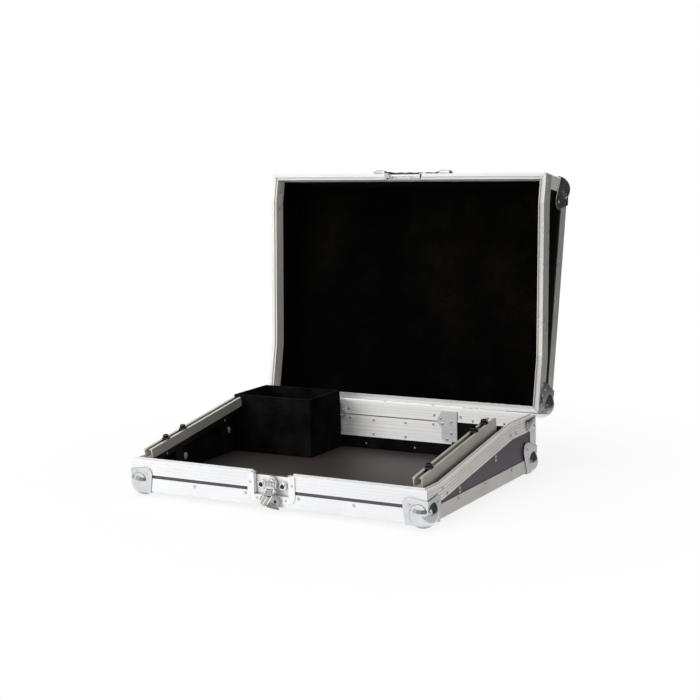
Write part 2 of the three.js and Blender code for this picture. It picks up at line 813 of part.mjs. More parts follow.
function addLatch() {
  let base = dish(dishBottom, frontRimHeight, dishBottom - dishFlange + dishSheet, frontRimHeight - sheet);
  for (const sign of [-1, 1]) {
    const x = sign * bossSpacing / 2;
    const back = dishDepth - dishSheet;
    const boss = rod('y', bossRadius, back - bossHeight, dishDepth - dishSheet / 2, x, bossPlace);
    const bore = rod('y', bossBore, back - bossHeight - cutOverrun, back - sheet, x, bossPlace);
    base = cut(join(base, boss), bore);
  }
  add(tray, 'latch_dish', base, zincFinish());

  const back = dishDepth - dishSheet - fit;
  const cam = new THREE.Shape();
  cam.moveTo(-camWidth / 2, 0);
  cam.lineTo(-camWidth / 2, camReach - sheet);
  cam.quadraticCurveTo(0, camReach + sheet, camWidth / 2, camReach - sheet);
  cam.lineTo(camWidth / 2, 0);
  const camSolid = geometryOf(prism('y', cam, back - 2 * camSheet, back - camSheet));
  camSolid.translate(0, 0, drumPlace);
  const plateLow = wingPinZ - wingPinRadius - sheet;
  const plateHalf = wingKnuckleWidth / 2 + fit + earSheet;
  const room = wingKnuckleWidth / 2 + fit;
  const plate = block(-plateHalf, plateHalf, -drumFront - wingPlateSheet, -drumFront + sheet,
    plateLow, drumPlace + drumRadius / 2);
  let drum = join(rod('y', drumRadius, -drumFront, back, 0, drumPlace), solidOf(camSolid), plate);
  drum = cut(drum, rod('x', wingKnuckle + fit, -room, room, wingPinY, wingPinZ));
  drum = join(drum, rod('x', wingPinRadius, -plateHalf, plateHalf, wingPinY, wingPinZ, fineSteps));
  for (const sign of [-1, 1]) {
    const ear = span(sign * (plateHalf - earSheet), sign * plateHalf);
    const top = wingPinZ + wingPinRadius + sheet;
    drum = join(drum, block(...ear, wingPinY - wingPinRadius, -drumFront, plateLow, top));
  }
  add(tray, 'latch_drum', drum, zincFinish());
  add(tray, 'latch_wing', wing(), zincFinish());
}

// The wing hangs from its pin, two round lobes on a short neck
function wing() {
  const half = wingKnuckleWidth / 2;
  const [y0, y1] = [wingPinY - wingSheet / 2, wingPinY + wingSheet / 2];
  const knuckle = rod('x', wingKnuckle, -half, half, wingPinY, wingPinZ);
  const neck = block(-half, half, y0, y1, wingPinZ - wingLobeDrop, wingPinZ);
  let body = join(knuckle, neck);
  for (const sign of [-1, 1]) {
    body = join(body, rod('y', wingLobeRadius, y0, y1, sign * wingLobeSpacing / 2, wingPinZ - wingLobeDrop));
  }
  return cut(body, rod('x', wingBore, -half - cutOverrun, half + cutOverrun, wingPinY, wingPinZ, fineSteps));
}

// Hinges. The leaf on the tray carries the pin, the leaf on the lid turns on it.
function addHinges() {
  for (const [side, sign] of [['left', -1], ['right', 1]]) {
    const x = sign * hingeSpacing / 2;
    const half = hingeWidth / 2;
    const middle = hingeMiddleKnuckle / 2;
    const shoulder = pivotZ - hingeBarrel - fit;
    const trayLeaf = join(
      block(x - half, x + half, caseDepth, caseDepth + hingeSheet, rearRimHeight - hingeLeaf, shoulder),
      block(x - middle, x + middle, caseDepth, pivotY, shoulder - hingeSheet, pivotZ),
      rod('x', hingeBarrel, x - middle, x + middle, pivotY, pivotZ),
      rod('x', hingePin, x - half, x + half, pivotY, pivotZ, fineSteps),
    );
    add(tray, `hinge_${side}_tray_leaf`, trayLeaf, zincFinish());

    const face = caseDepth + fit;
    const foot = rearRimHeight + parting + fit;
    let lidLeaf = block(x - half, x + half, face, face + hingeSheet, foot, rearRimHeight + hingeLeaf);
    for (const end of [-1, 1]) {
      const [x0, x1] = span(x + end * (middle + fit), x + end * half);
      lidLeaf = join(
        lidLeaf,
        block(x0, x1, face, face + hingeSheet, pivotZ, foot + hingeSheet),
        block(x0, x1, face, pivotY, pivotZ, foot - fit),
        rod('x', hingeBarrel, x0, x1, pivotY, pivotZ),
      );
    }
    const bore = rod('x', hingeBore, x - half - cutOverrun, x + half + cutOverrun, pivotY, pivotZ, fineSteps);
    lidLeaf = cut(lidLeaf, bore);
    add(lid, `hinge_${side}_lid_leaf`, lidLeaf, zincFinish());
  }
}

// Lid
function addLidPanels() {
  const above = parting + rimWeb + fit;
  const high = closedHeight - floorTop - fit;
  add(lid, 'lid_top_panel', bluntedLid(levelPanel(closedHeight - floorTop)), panelFinish());
  add(lid, 'lid_left_panel', bluntedLid(lidSidePanel('left')), panelFinish());
  add(lid, 'lid_right_panel', bluntedLid(lidSidePanel('right')), panelFinish());
  const front = crossPanel('front', frontRimHeight + above, high);
  add(lid, 'lid_front_panel', cut(front, dishCut(frontRimHeight, catchTop + fit)), panelFinish());
  add(lid, 'lid_rear_panel', crossPanel('rear', rearRimHeight + above, high), panelFinish());
}

function addLidRims() {
  for (const side of sideNames) {
    let rim = sweep(rimSection(false), stationsOf(side, (y) => rimLevel(y) + parting, rimBends));
    if (side === 'front') {
      rim = cut(rim, dishCut(0, catchTop + fit), notchCut(frontRimHeight + parting, -1));
    }
    add(lid, `lid_rim_${side}`, rim, aluminiumFinish());
  }
}

function addLidEdges() {
  for (const side of sideNames) {
    let edge = sweep(angleSection(-1), stationsOf(side, () => closedHeight, []));
    if (side === 'front' || side === 'rear') {
      const y = side === 'front' ? 0 : caseDepth;
      const foot = rimLevel(y) + parting + rimFlange + fit;
      for (const x of [-halfWidth, halfWidth]) {
        edge = join(edge, cornerPost(x, y, closedHeight - edgeLeg, foot));
      }
    }
    add(lid, `lid_edge_${side}`, bluntedLid(edge), aluminiumFinish());
  }
}

function addCatch() {
  const open = frontRimHeight + parting;
  const body = dish(catchTop, open, catchPlateTop, open + sheet);
  const barLow = open + catchBarRise;
  const barTop = barLow + catchBarHeight;
  const barHalf = dishHalf - dishSheet / 2;
  const bar = block(-barHalf, barHalf, 0, catchBarDepth, barLow, barTop);
  const web = block(-camWidth, camWidth, 0, dishDepth - dishSheet / 2, barTop - sheet, barTop);
  add(lid, 'lid_latch_catch', join(body, bar, web), zincFinish());
}

function addHandle() {
  const surface = panelInset - fit;
  const axisY = surface - handlePivotProud;
  for (const [side, sign] of [['left', -1], ['right', 1]]) {
    const x = sign * handleSpacing / 2;
    const plateHalf = handlePlateWidth / 2;
    const housingHalf = handleHousingWidth / 2;
    const plate = block(x - plateHalf, x + plateHalf, surface - handlePlateSheet, surface,
      handleHeight - handlePlateHeight / 2, handleHeight + handlePlateHeight / 2);
    const proud = surface - handleHousingProud;
    const bevel = handlePlateSheet;
    const shape = outline([
      [surface, handleHeight - handleHousingHeight / 2],
      [surface, handleHeight + handleHousingHeight / 2],
      [proud + bevel, handleHeight + handleHousingHeight / 2],
      [proud, handleHeight + handleHousingHeight / 2 - bevel],
      [proud, handleHeight - handleHousingHeight / 2 + bevel],
      [proud + bevel, handleHeight - handleHousingHeight / 2],
    ]);
    const housing = prism('x', shape, x - housingHalf, x + housingHalf);
    const mouth = x - sign * (housingHalf + cutOverrun);
    const end = x - sign * housingHalf + sign * (handleRodInsert + fit);
    const bore = rod('x', handleBore, ...span(mouth, end), axisY, handleHeight, fineSteps);
    add(lid, `handle_bracket_${side}`, cut(join(plate, housing), bore), zincFinish());
  }
  const inner = handleSpacing / 2 - handleHousingWidth / 2;
  const armX = inner - handleRod - fit - sheet;
  const gripZ = handleHeight + handleReach;
  let bail = rod('x', gripRadius, -gripLength / 2, gripLength / 2, axisY, gripZ);
  for (const sign of [-1, 1]) {
    const ends = span(sign * armX, sign * (inner + handleRodInsert));
    const bridge = span(sign * (gripLength / 2 - sheet), sign * armX);
    bail = join(
      bail,
      rod('x', handleRod, ...ends, axisY, handleHeight, fineSteps),
      rod('z', handleRod, handleHeight, gripZ, sign * armX, axisY, fineSteps),
      rod('x', handleRod, ...bridge, axisY, gripZ, fineSteps),
    );
    for (const z of [handleHeight, gripZ]) {
      const knee = new THREE.SphereGeometry(handleRod, fineSteps, fineSteps / 2);
      knee.translate(sign * armX, axisY, z);
      bail = join(bail, solidOf(knee));
    }
  }
  add(lid, 'handle_grip', bail, rubberFinish());
}

addTrayPanels();
addTrayRims();
addTrayEdges();
addBallCorners(tray, 'base', 0, false);
addRails();
addCompartment();
addHatch();
addLatch();
addHinges();
addLidPanels();
addLidRims();
addLidEdges();
addBallCorners(lid, 'lid', closedHeight, true);
addCatch();
addHandle();

// The origin is put under the middle of the open case, at the level it stands on
object.updateMatrixWorld(true);
const reach = new THREE.Box3().setFromObject(object, true);
object.position.set(0, -(reach.min.y + reach.max.y) / 2, -reach.min.z);

export default object;
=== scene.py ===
import re
from math import atan2, copysign, cos, hypot, pi, radians, sin, sqrt

import bmesh
import bpy
from mathutils import Matrix, Vector


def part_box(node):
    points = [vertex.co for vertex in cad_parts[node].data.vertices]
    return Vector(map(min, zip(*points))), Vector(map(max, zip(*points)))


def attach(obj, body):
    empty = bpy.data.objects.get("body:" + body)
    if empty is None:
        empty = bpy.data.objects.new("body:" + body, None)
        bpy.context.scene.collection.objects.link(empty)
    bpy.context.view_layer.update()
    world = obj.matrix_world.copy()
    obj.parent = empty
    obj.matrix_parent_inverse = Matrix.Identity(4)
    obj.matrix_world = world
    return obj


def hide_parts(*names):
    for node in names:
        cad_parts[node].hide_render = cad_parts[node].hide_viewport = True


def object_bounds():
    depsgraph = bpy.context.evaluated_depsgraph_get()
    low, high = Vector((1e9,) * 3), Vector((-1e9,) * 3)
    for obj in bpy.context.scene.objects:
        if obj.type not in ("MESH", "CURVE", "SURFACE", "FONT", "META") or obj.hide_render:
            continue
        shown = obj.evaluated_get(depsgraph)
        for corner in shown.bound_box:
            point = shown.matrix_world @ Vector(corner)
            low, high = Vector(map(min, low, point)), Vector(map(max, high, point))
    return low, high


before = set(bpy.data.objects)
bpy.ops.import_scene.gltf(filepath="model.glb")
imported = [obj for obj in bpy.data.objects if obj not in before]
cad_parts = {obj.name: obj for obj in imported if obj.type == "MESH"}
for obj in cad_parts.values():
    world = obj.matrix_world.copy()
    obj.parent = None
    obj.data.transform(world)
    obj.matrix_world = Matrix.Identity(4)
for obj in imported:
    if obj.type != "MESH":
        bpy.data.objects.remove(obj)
cad_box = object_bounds()

# Sizes of the case in millimetres, in the frame that it is drawn in: the front face at y = 0,
# the underside of the tray at z = 0, and the lid closed
WIDTH, DEPTH, HEIGHT = 510.0, 378.0, 145.0
HALF = WIDTH / 2
FRONT_RIM, REAR_RIM = 50.0, 88.0
FRONT_FLAT, REAR_FLAT = 48.0, 89.0
PANEL_INSET, PANEL = 1.4, 7.0
INNER_WALL = HALF - PANEL_INSET - PANEL
RIM_WIDTH = 9.8
FLOOR_TOP = 8.4
PARTING = 0.4
FIT = 0.3
HINGE_OUT, HINGE_DROP = 4.7, 4.0
RAIL_SPACING, RAIL_RISE, RAIL_SIDE = 466.0, 19.0, 7.5
OPEN_ANGLE = radians(102)
SLOPE = atan2(REAR_RIM - FRONT_RIM, DEPTH - FRONT_FLAT - REAR_FLAT)
PIVOT = Vector((0, DEPTH + HINGE_OUT, REAR_RIM - HINGE_DROP))
MM = 0.001

origin = Vector((0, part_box("base_rim_front")[0].y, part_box("base_floor_panel")[0].z - PANEL_INSET * MM))
TRAY = Matrix.Translation(origin) @ Matrix.Scale(MM, 4)
SWING = Matrix.Rotation(-OPEN_ANGLE, 4, "X")
LID = TRAY @ Matrix.Translation(PIVOT) @ SWING @ Matrix.Translation(-PIVOT)
PLACES = {"tray": TRAY, "hatch": TRAY, "lid": LID}

SIDES = (("left", -1), ("right", 1))
BOTH = (-1, 1)
FRONTWARD, REARWARD = (0, -1, 0), (0, 1, 0)
# Turns for outlines drawn out along x or y, and for forms that stand out of a front face
ALONG_X = Matrix(((0, 0, 1), (1, 0, 0), (0, 1, 0))).to_4x4()
ALONG_Y = Matrix(((1, 0, 0), (0, 0, 1), (0, 1, 0))).to_4x4()
OUT_OF_FRONT = Matrix(((1, 0, 0), (0, 0, -1), (0, 1, 0))).to_4x4()


def rim_level(y):
    share = (y - FRONT_FLAT) / (DEPTH - FRONT_FLAT - REAR_FLAT)
    return FRONT_RIM + (REAR_RIM - FRONT_RIM) * min(1.0, max(0.0, share))


def link(name, data):
    made = bpy.data.objects.new(name, data)
    bpy.context.scene.collection.objects.link(made)
    return made


# Camera at the photograph's viewing angle
CAMERA_TURN = radians(30.17)
CAMERA_RISE = radians(8.62)
CAMERA_ROLL = radians(-1.57)
CAMERA_PLACE = Vector((1168.2, -1771.0, 549.6))
CAMERA_LENS = 76.766
CAMERA_SENSOR = 36.0
CAMERA_NEAR = 0.05


def add_camera():
    data = bpy.data.cameras.new("camera")
    data.lens = CAMERA_LENS
    data.sensor_width = CAMERA_SENSOR
    data.sensor_fit = "HORIZONTAL"
    data.clip_start = CAMERA_NEAR
    camera = link("camera", data)
    turn = Matrix.Rotation(CAMERA_TURN, 4, "Z") @ Matrix.Rotation(pi / 2 - CAMERA_RISE, 4, "X")
    roll = Matrix.Rotation(CAMERA_ROLL, 4, "Z")
    camera.matrix_world = Matrix.Translation(TRAY @ CAMERA_PLACE) @ turn @ roll
    bpy.context.scene.camera = camera


add_camera()


# Materials
class Tree:
    """A node tree, with short ways to add its nodes."""

    def __init__(self, tree):
        self.tree = tree

    def node(self, kind, inputs=None, **settings):
        node = self.tree.nodes.new("ShaderNode" + kind)
        for key, value in settings.items():
            setattr(node, key, value)
        for key, value in (inputs or {}).items():
            self.put(node.inputs[key], value)
        return node

    def put(self, socket, value):
        if isinstance(value, bpy.types.NodeSocket):
            self.tree.links.new(value, socket)
        else:
            socket.default_value = value

    def maths(self, operation, first, second=0.0):
        return self.node("Math", {0: first, 1: second}, operation=operation).outputs[0]

    def spread(self, value, low, high, to_low=0.0, to_high=1.0, **settings):
        """A value between low and high spread over a new range."""
        return self.node("MapRange", {
            "Value": value, "From Min": low, "From Max": high, "To Min": to_low, "To Max": to_high,
        }, **settings).outputs["Result"]

    def glow(self, shade):
        return self.node("Emission", {"Color": grey(shade), "Strength": 1.0}).outputs[0]

    def mix_shaders(self, share, first, second):
        return self.node("MixShader", {0: share, 1: first, 2: second}).outputs[0]


class Graph(Tree):
    """A material and the few node patterns that all the surfaces share."""

    def __init__(self, name):
        self.material = bpy.data.materials.new(name)
        self.material.use_nodes = True
        super().__init__(self.material.node_tree)
        self.shader = self.tree.nodes["Principled BSDF"]
        self.place = self.node("TexCoord").outputs["Object"]

    def set(self, **values):
        for key, value in values.items():
            self.put(self.shader.inputs[key.replace("_", " ")], value)

    def turned(self, angle):
        """Object coordinates turned about X, so that a lid piece is textured along its own run."""
        mapping = self.node("Mapping", {"Vector": self.place, "Rotation": (angle, 0, 0)})
        return mapping.outputs["Vector"]

    def noise(self, scale, detail, rough, place=None, stretch=(1, 1, 1)):
        mapping = self.node("Mapping", {"Vector": place or self.place, "Scale": stretch})
        return self.node("TexNoise", {
            "Vector": mapping.outputs["Vector"], "Scale": scale, "Detail": detail, "Roughness": rough,
        }).outputs["Fac"]

    def mix(self, share, first, second):
        """A blend of two colours, each a socket or its red, green and blue."""
        inputs = {0: share}
        for key, colour in ((6, first), (7, second)):
            inputs[key] = colour if isinstance(colour, bpy.types.NodeSocket) else (*colour, 1.0)
        return self.node("Mix", inputs, data_type="RGBA").outputs[2]

    def blend(self, share, first, second):
        return self.node("Mix", {0: share, 2: first, 3: second}, data_type="FLOAT").outputs[0]

    def weigh(self, first, share, second):
        """The sum of two values, the first taken by its share and the second by the rest."""
        taken = self.maths("MULTIPLY", first, share)
        return self.maths("ADD", taken, self.maths("MULTIPLY", second, 1 - share))

    def creases(self, reach, low, high):
        """Ambient occlusion, 0 in tight creases and 1 on open surfaces, which the materials use to paint
        shade into creases.
        """
        occlusion = self.node("AmbientOcclusion", {"Distance": reach}, samples=8)
        return self.spread(occlusion.outputs["AO"], low, high)

    def bump(self, height, strength, depth):
        bump = self.node("Bump", {"Height": height, "Strength": strength, "Distance": depth})
        self.set(Normal=bump.outputs["Normal"])


def grey(shade):
    return (shade, shade, shade, 1.0)


def dimmed(colour, share):
    return tuple(share * part for part in colour)


# Scales of the noise in the materials, and the stretch that draws it out along a run
DRAWN_LINES, HANDLING, METAL_SPECKS = 900.0, 14.0, 420.0
ZINC_CRYSTALS, ZINC_HAZE = 420.0, 38.0
FILM_PEEL, FILM_CLOUD, FILM_SCUFF, BOARD_NAP = 1500.0, 9.0, 60.0, 900.0
FELT_PATCH, FELT_DUST, FELT_LINT = 26.0, 4.2, 460.0
PLASTIC_PEBBLE, PLASTIC_WEAR = 700.0, 90.0
RUNS = {"x": (0.012, 1, 1), "y": (1, 0.012, 1)}
# Black of the rail brackets, which also paints the shade on the rails
RAIL_BLACK_AND_SHADE = (0.012, 0.011, 0.007)


def metal(name, finish, run, turn=0.0, bare_and_lit=None, crease_shade=0.55):
    """Drawn or rolled metal, with fine lines along its run, faint blotches of handling, and painted shade in
    its creases.
    """
    light, dark, roughness, metallic = finish
    graph = Graph(name)
    place = graph.turned(turn)
    lines = graph.noise(DRAWN_LINES, 4.0, 0.6, place, RUNS[run])
    cloud = graph.noise(HANDLING, 4.0, 0.6, place)
    specks = graph.noise(METAL_SPECKS, 2.0, 0.5, place)
    shade = graph.weigh(lines, 0.25, cloud)
    colour = graph.mix(graph.spread(shade, 0.3, 0.7), dark, light)
    colour = graph.mix(graph.spread(specks, 0.7, 0.8, 0.0, 0.25), colour, dimmed(dark, 0.75))
    # painted shade: creases darken towards crease_shade times the dark colour, by ambient occlusion
    colour = graph.mix(graph.creases(0.003, 0.3, 0.85), dimmed(dark, crease_shade), colour)
    gloss = graph.spread(shade, 0.3, 0.7, *reversed(roughness))
    # painted shade on the rails: where bare_and_lit falls below 1, the metal goes towards black
    if bare_and_lit:
        share = bare_and_lit(graph)
        colour = graph.mix(share, RAIL_BLACK_AND_SHADE, colour)
        metallic = graph.blend(share, 0.0, metallic)
    graph.set(Base_Color=colour, Metallic=metallic, Roughness=gloss)
    graph.bump(lines, 0.12, 0.0002)
    return graph.material


def zinc(name, light, dark, roughness, metallic, reach=0.003):
    """Bright zinc plate: small crystal patches, a soft haze, and painted shade in its creases out to reach.
    """
    graph = Graph(name)
    cells = graph.node("TexVoronoi", {"Vector": graph.place, "Scale": ZINC_CRYSTALS})
    patch = graph.node("SeparateColor", {"Color": cells.outputs["Color"]}).outputs[0]
    haze = graph.noise(ZINC_HAZE, 5.0, 0.62)
    shade = graph.weigh(patch, 0.06, haze)
    colour = graph.mix(graph.spread(shade, 0.25, 0.7), dark, light)
    # painted shade: creases darken towards 0.35 of the dark colour
    colour = graph.mix(graph.creases(reach, 0.35, 0.9), dimmed(dark, 0.35), colour)
    gloss = graph.spread(shade, 0.25, 0.75, *reversed(roughness))
    graph.set(Base_Color=colour, Metallic=metallic, Roughness=gloss)
    graph.bump(haze, 0.04, 0.0006)
    return graph.material


def facing(graph, direction):
    """1 where the surface faces along a direction of the object, 0 where it faces away."""
    normal = graph.node("TexCoord").outputs["Normal"]
    dot = graph.node("VectorMath", {0: normal, 1: tuple(direction)}, operation="DOT_PRODUCT")
    return graph.spread(dot.outputs["Value"], 0.2, 0.4)


# The rails: heights above the slope of the side rims, and distances from the middle of the case
SKIRT_FOOT, RAIL_FOOT = -12.1, 3.9
RAIL_FACE = RAIL_SPACING / 2 + RAIL_SIDE
SKIRT_INSIDE = RAIL_FACE - 1.8
# Painted shade: between these heights in millimetres, the rails' colour goes from dim to full
RAIL_SHADE = (-4.0, 5.0, 0.25, 1.0)


def rail_share(graph):
    """1 on a rail, less towards the foot of its skirt as painted shade, and 0 on its black brackets."""
    upward = Vector((0, -sin(SLOPE), cos(SLOPE)))
    slope_level = (TRAY @ Vector((0, FRONT_FLAT, FRONT_RIM))).dot(upward)
    leaning = graph.node("VectorMath", {0: graph.place, 1: tuple(upward)}, operation="DOT_PRODUCT")
    height = graph.maths("SUBTRACT", leaning.outputs["Value"], slope_level)
    side = graph.node("SeparateXYZ", {"Vector": graph.place}).outputs["X"]
    across = graph.maths("ABSOLUTE", side)
    over = graph.spread(height, SKIRT_FOOT * MM, (SKIRT_FOOT + 0.1) * MM)
    beside = graph.spread(across, (RAIL_FACE + 0.1) * MM, (RAIL_FACE + 0.2) * MM, 1.0, 0.0)
    low, high, dim, full = RAIL_SHADE
    shade = graph.spread(height, low * MM, high * MM, dim, full)
    # painted shade: the inner face of the left rail's skirt is black below the rail's foot
    right = graph.spread(side, -MM, MM)
    upper = graph.spread(height, (RAIL_FOOT - 0.1) * MM, RAIL_FOOT * MM)
    shade = graph.maths("MULTIPLY", shade, graph.maths("MAXIMUM", right, upper))
    return graph.maths("MULTIPLY", shade, graph.maths("MULTIPLY", over, beside))


# Colours of the panels: the film outside, and the light and dark of the inner face
FILM = ((0.058, 0.046, 0.061), (0.088, 0.072, 0.092))
FILM_WORN = (0.075, 0.068, 0.08)
BLACK_FACE = ((0.008, 0.0075, 0.008), (0.002, 0.002, 0.0022))
FLOOR_FACE = ((0.050, 0.040, 0.0355), (0.023, 0.0185, 0.0168))
MATT, POLISHED = (0.75, 0.95), (0.34, 0.5)
# Painted shade: the lid's side panels take their outer colours dimmed to 0.04, with less gloss
LID_SHADE = {"turn": OPEN_ANGLE, "painted_light": 0.04, "gloss": 0.1}


def laminate(name, outward, inner=BLACK_FACE, inner_rough=MATT, turn=0.0, painted_light=1.0, gloss=0.5):
    """Film-faced plywood outside, dimmed by painted_light as painted shade, and the inner face given by its
    own colours.
    """
    graph = Graph(name)
    place = graph.turned(turn)
    peel = graph.noise(FILM_PEEL, 2.0, 0.5, place)
    cloud = graph.noise(FILM_CLOUD, 5.0, 0.6, place)
    scuff = graph.noise(FILM_SCUFF, 6.0, 0.7, place, (1, 0.25, 1.6))
    deep, pale, worn = (dimmed(shade, painted_light) for shade in (*FILM, FILM_WORN))
    outer = graph.mix(graph.spread(cloud, 0.3, 0.7), deep, pale)
    outer = graph.mix(graph.spread(scuff, 0.64, 0.8, 0.0, 0.35), outer, worn)
    nap = graph.noise(BOARD_NAP, 3.0, 0.7, place)
    inner_light, inner_dark = inner
    within = graph.mix(graph.spread(nap, 0.35, 0.7), inner_dark, inner_light)
    outside = facing(graph, outward)
    rough_out = graph.spread(cloud, 0.3, 0.7, 0.30, 0.44)
    rough_in = graph.spread(nap, 0.3, 0.7, *reversed(inner_rough))
    graph.set(
        Base_Color=graph.mix(outside, within, outer),
        Roughness=graph.blend(outside, rough_in, rough_out),
        Metallic=0.0, Specular_IOR_Level=gloss,
    )
    graph.bump(graph.blend(outside, nap, peel), 0.35, 0.0003)
    return graph.material


FELT_BLACK = ((0.0135, 0.0138, 0.0145), (0.0012, 0.0012, 0.0013))
LID_BLACK = ((0.0018, 0.0016, 0.0015), (0.0003, 0.0003, 0.0003))
DUST = (0.032, 0.029, 0.022)


def felt(name, colours, grain, streaks=0.0, turn=0.0):
    """Short black felt glued on board, with a little dust in streaks where it is used."""
    light, dark = colours
    graph = Graph(name)
    place = graph.turned(turn)
    nap = graph.noise(grain, 4.0, 0.75, place)
    patch = graph.noise(FELT_PATCH, 4.0, 0.6, place)
    shade = graph.weigh(nap, 0.6, patch)
    colour = graph.mix(graph.spread(shade, 0.42, 0.66), dark, light)
    if streaks:
        dust = graph.noise(FELT_DUST, 6.0, 0.72, place, (0.8, 0.5, 1.0))
        lint = graph.noise(FELT_LINT, 4.0, 0.75, place, (1, 2.2, 1))
        dusty = graph.maths("MULTIPLY", graph.spread(dust, 0.45, 0.68), graph.spread(lint, 0.46, 0.7))
        colour = graph.mix(graph.maths("MULTIPLY", dusty, streaks), colour, DUST)
    graph.set(
        Base_Color=colour, Roughness=0.96, Metallic=0.0, Specular_IOR_Level=0.03,
        Sheen_Weight=0.005, Sheen_Roughness=0.5,
    )
    graph.bump(nap, 0.6, 0.0006)
    return graph.material


def dark_plastic(name, light, dark, roughness, metallic=0.0):
    """Moulded grip or black-plated steel, finely pebbled with worn high spots."""
    graph = Graph(name)
    pebble = graph.noise(PLASTIC_PEBBLE, 2.0, 0.5)
    worn = graph.noise(PLASTIC_WEAR, 5.0, 0.65)
    colour = graph.mix(graph.spread(worn, 0.5, 0.75), dark, light)
    gloss = graph.spread(worn, 0.35, 0.7, *reversed(roughness))
    graph.set(Base_Color=colour, Metallic=metallic, Roughness=gloss)
    graph.bump(pebble, 0.25, 0.0003)
    return graph.material


# Each finish: light and dark colour, lowest and highest roughness, and how metallic it is
SATIN = (0.26, 0.36)
ALUMINIUM = ((0.84, 0.84, 0.825), (0.74, 0.74, 0.72), SATIN, 0.3)
# Painted light: the side rims get a lighter copy of the aluminium
SIDE_ALUMINIUM = ((0.90, 0.875, 0.835), (0.79, 0.77, 0.73), SATIN, 0.25)
# Painted shade: the side edges of the tray get a darker copy of the aluminium
EDGE_ALUMINIUM = ((0.68, 0.665, 0.625), (0.58, 0.565, 0.525), SATIN, 0.3)
LID_ALUMINIUM = ((0.88, 0.865, 0.83), (0.77, 0.755, 0.72), (0.2, 0.3), 0.6)
# Painted light: the front of the tray gets a whiter copy of the aluminium, with little crease shade
FRONT_ALUMINIUM = ((0.85, 0.86, 0.87), (0.77, 0.78, 0.79), SATIN, 0.3)
# Painted light: the rear rim and the hatch channels in the lid's shade get a near-white copy of the aluminium
INNER_ALUMINIUM = ((0.99, 0.985, 0.975), (0.93, 0.925, 0.91), SATIN, 0.0)
RAIL_ALUMINIUM = ((0.62, 0.595, 0.54), (0.46, 0.44, 0.395), (0.30, 0.44), 0.45)
aluminium_x = metal("aluminium_x", ALUMINIUM, "x")
aluminium_y = metal("aluminium_y", SIDE_ALUMINIUM, "y")
aluminium_edge = metal("aluminium_edge", EDGE_ALUMINIUM, "y")
aluminium_front = metal("aluminium_front", FRONT_ALUMINIUM, "x", crease_shade=0.93)
aluminium_lid = metal("aluminium_lid", LID_ALUMINIUM, "y", OPEN_ANGLE)
aluminium_inner = metal("aluminium_inner", INNER_ALUMINIUM, "x")
rail_metal = metal("rail_metal", RAIL_ALUMINIUM, "y", -SLOPE, rail_share)
zinc_plate = zinc("zinc_plate", (0.90, 0.90, 0.91), (0.78, 0.78, 0.795), (0.20, 0.34), 0.35)
# Painted shade: a darker copy of the zinc plate for the handle brackets and the wing's lobes
zinc_painted_shade = zinc("zinc_painted_shade", (0.50, 0.49, 0.48), (0.34, 0.33, 0.32), (0.20, 0.34), 0.9)
chrome_plate = zinc("chrome_plate", (0.76, 0.77, 0.79), (0.60, 0.61, 0.64), (0.12, 0.20), 0.93, 0.009)
# Painted shade: a dark copy of the zinc plate for the foot of the wing
wing_painted_shade = zinc("wing_painted_shade", (0.27, 0.27, 0.275), (0.13, 0.13, 0.135), (0.14, 0.26), 0.9)
slat_brass = zinc("slat_brass", (0.74, 0.70, 0.50), (0.50, 0.45, 0.26), (0.18, 0.32), 0.7)
drum_plate = zinc("drum_plate", (0.84, 0.85, 0.87), (0.60, 0.61, 0.63), (0.12, 0.24), 0.9)
rivet_metal = zinc("rivet_metal", (0.70, 0.70, 0.69), (0.50, 0.50, 0.49), (0.16, 0.30), 0.6, 0.002)
black_steel = dark_plastic("black_steel", (0.016, 0.014, 0.013), (0.004, 0.004, 0.0045), (0.14, 0.28), 0.2)
grip_rubber = dark_plastic("grip_rubber", (0.045, 0.045, 0.047), (0.014, 0.014, 0.015), (0.55, 0.75))
felt_lining = felt("felt_lining", FELT_BLACK, 640.0)
lid_lining = felt("lid_lining", LID_BLACK, 1100.0)
lid_felt = felt("lid_felt", LID_BLACK, 1100.0, 0.55, OPEN_ANGLE)

up_of_lid = SWING.to_3x3() @ Vector((0, 0, 1))
front_of_lid = SWING.to_3x3() @ Vector(FRONTWARD)
panel_looks = {
    "base_floor_panel": laminate("floor_panel", (0, 0, -1), FLOOR_FACE, POLISHED),
    "base_left_panel": laminate("tray_left_panel", (-1, 0, 0)),
    "base_right_panel": laminate("tray_right_panel", (1, 0, 0)),
    "base_front_panel": laminate("tray_front_panel", FRONTWARD),
    "base_rear_panel": laminate("tray_rear_panel", REARWARD),
    "hatch_panel": laminate("hatch_core", REARWARD),
    "lid_top_panel": laminate("lid_roof_panel", up_of_lid, turn=OPEN_ANGLE),
    "lid_left_panel": laminate("lid_left_panel", (-1, 0, 0), **LID_SHADE),
    "lid_right_panel": laminate("lid_right_panel", (1, 0, 0), **LID_SHADE),
    "lid_front_panel": laminate("lid_front_panel", front_of_lid, turn=OPEN_ANGLE),
    "lid_rear_panel": laminate("lid_rear_panel", -front_of_lid, turn=OPEN_ANGLE),
}


# The look of each node is the first here whose words its name fits
NODE_LOOKS = (
    ("rack_rail", rail_metal), ("rack_screw", black_steel), ("cable_compartment", felt_lining),
    ("handle_grip", grip_rubber), ("ball_corner", chrome_plate),
    ("base_rim_rear|channel", aluminium_inner), ("base_(rim|edge)_front", aluminium_front),
    ("base_edge_(left|right)", aluminium_edge), ("lid_(rim|edge)_right", aluminium_lid),
    ("_(rim|edge)_(left|right)", aluminium_y), ("_(rim|edge)_", aluminium_x), ("", zinc_plate),
)


def look_of(node):
    if node in panel_looks:
        return panel_looks[node]
    return next(look for words, look in NODE_LOOKS if re.search(words, node))


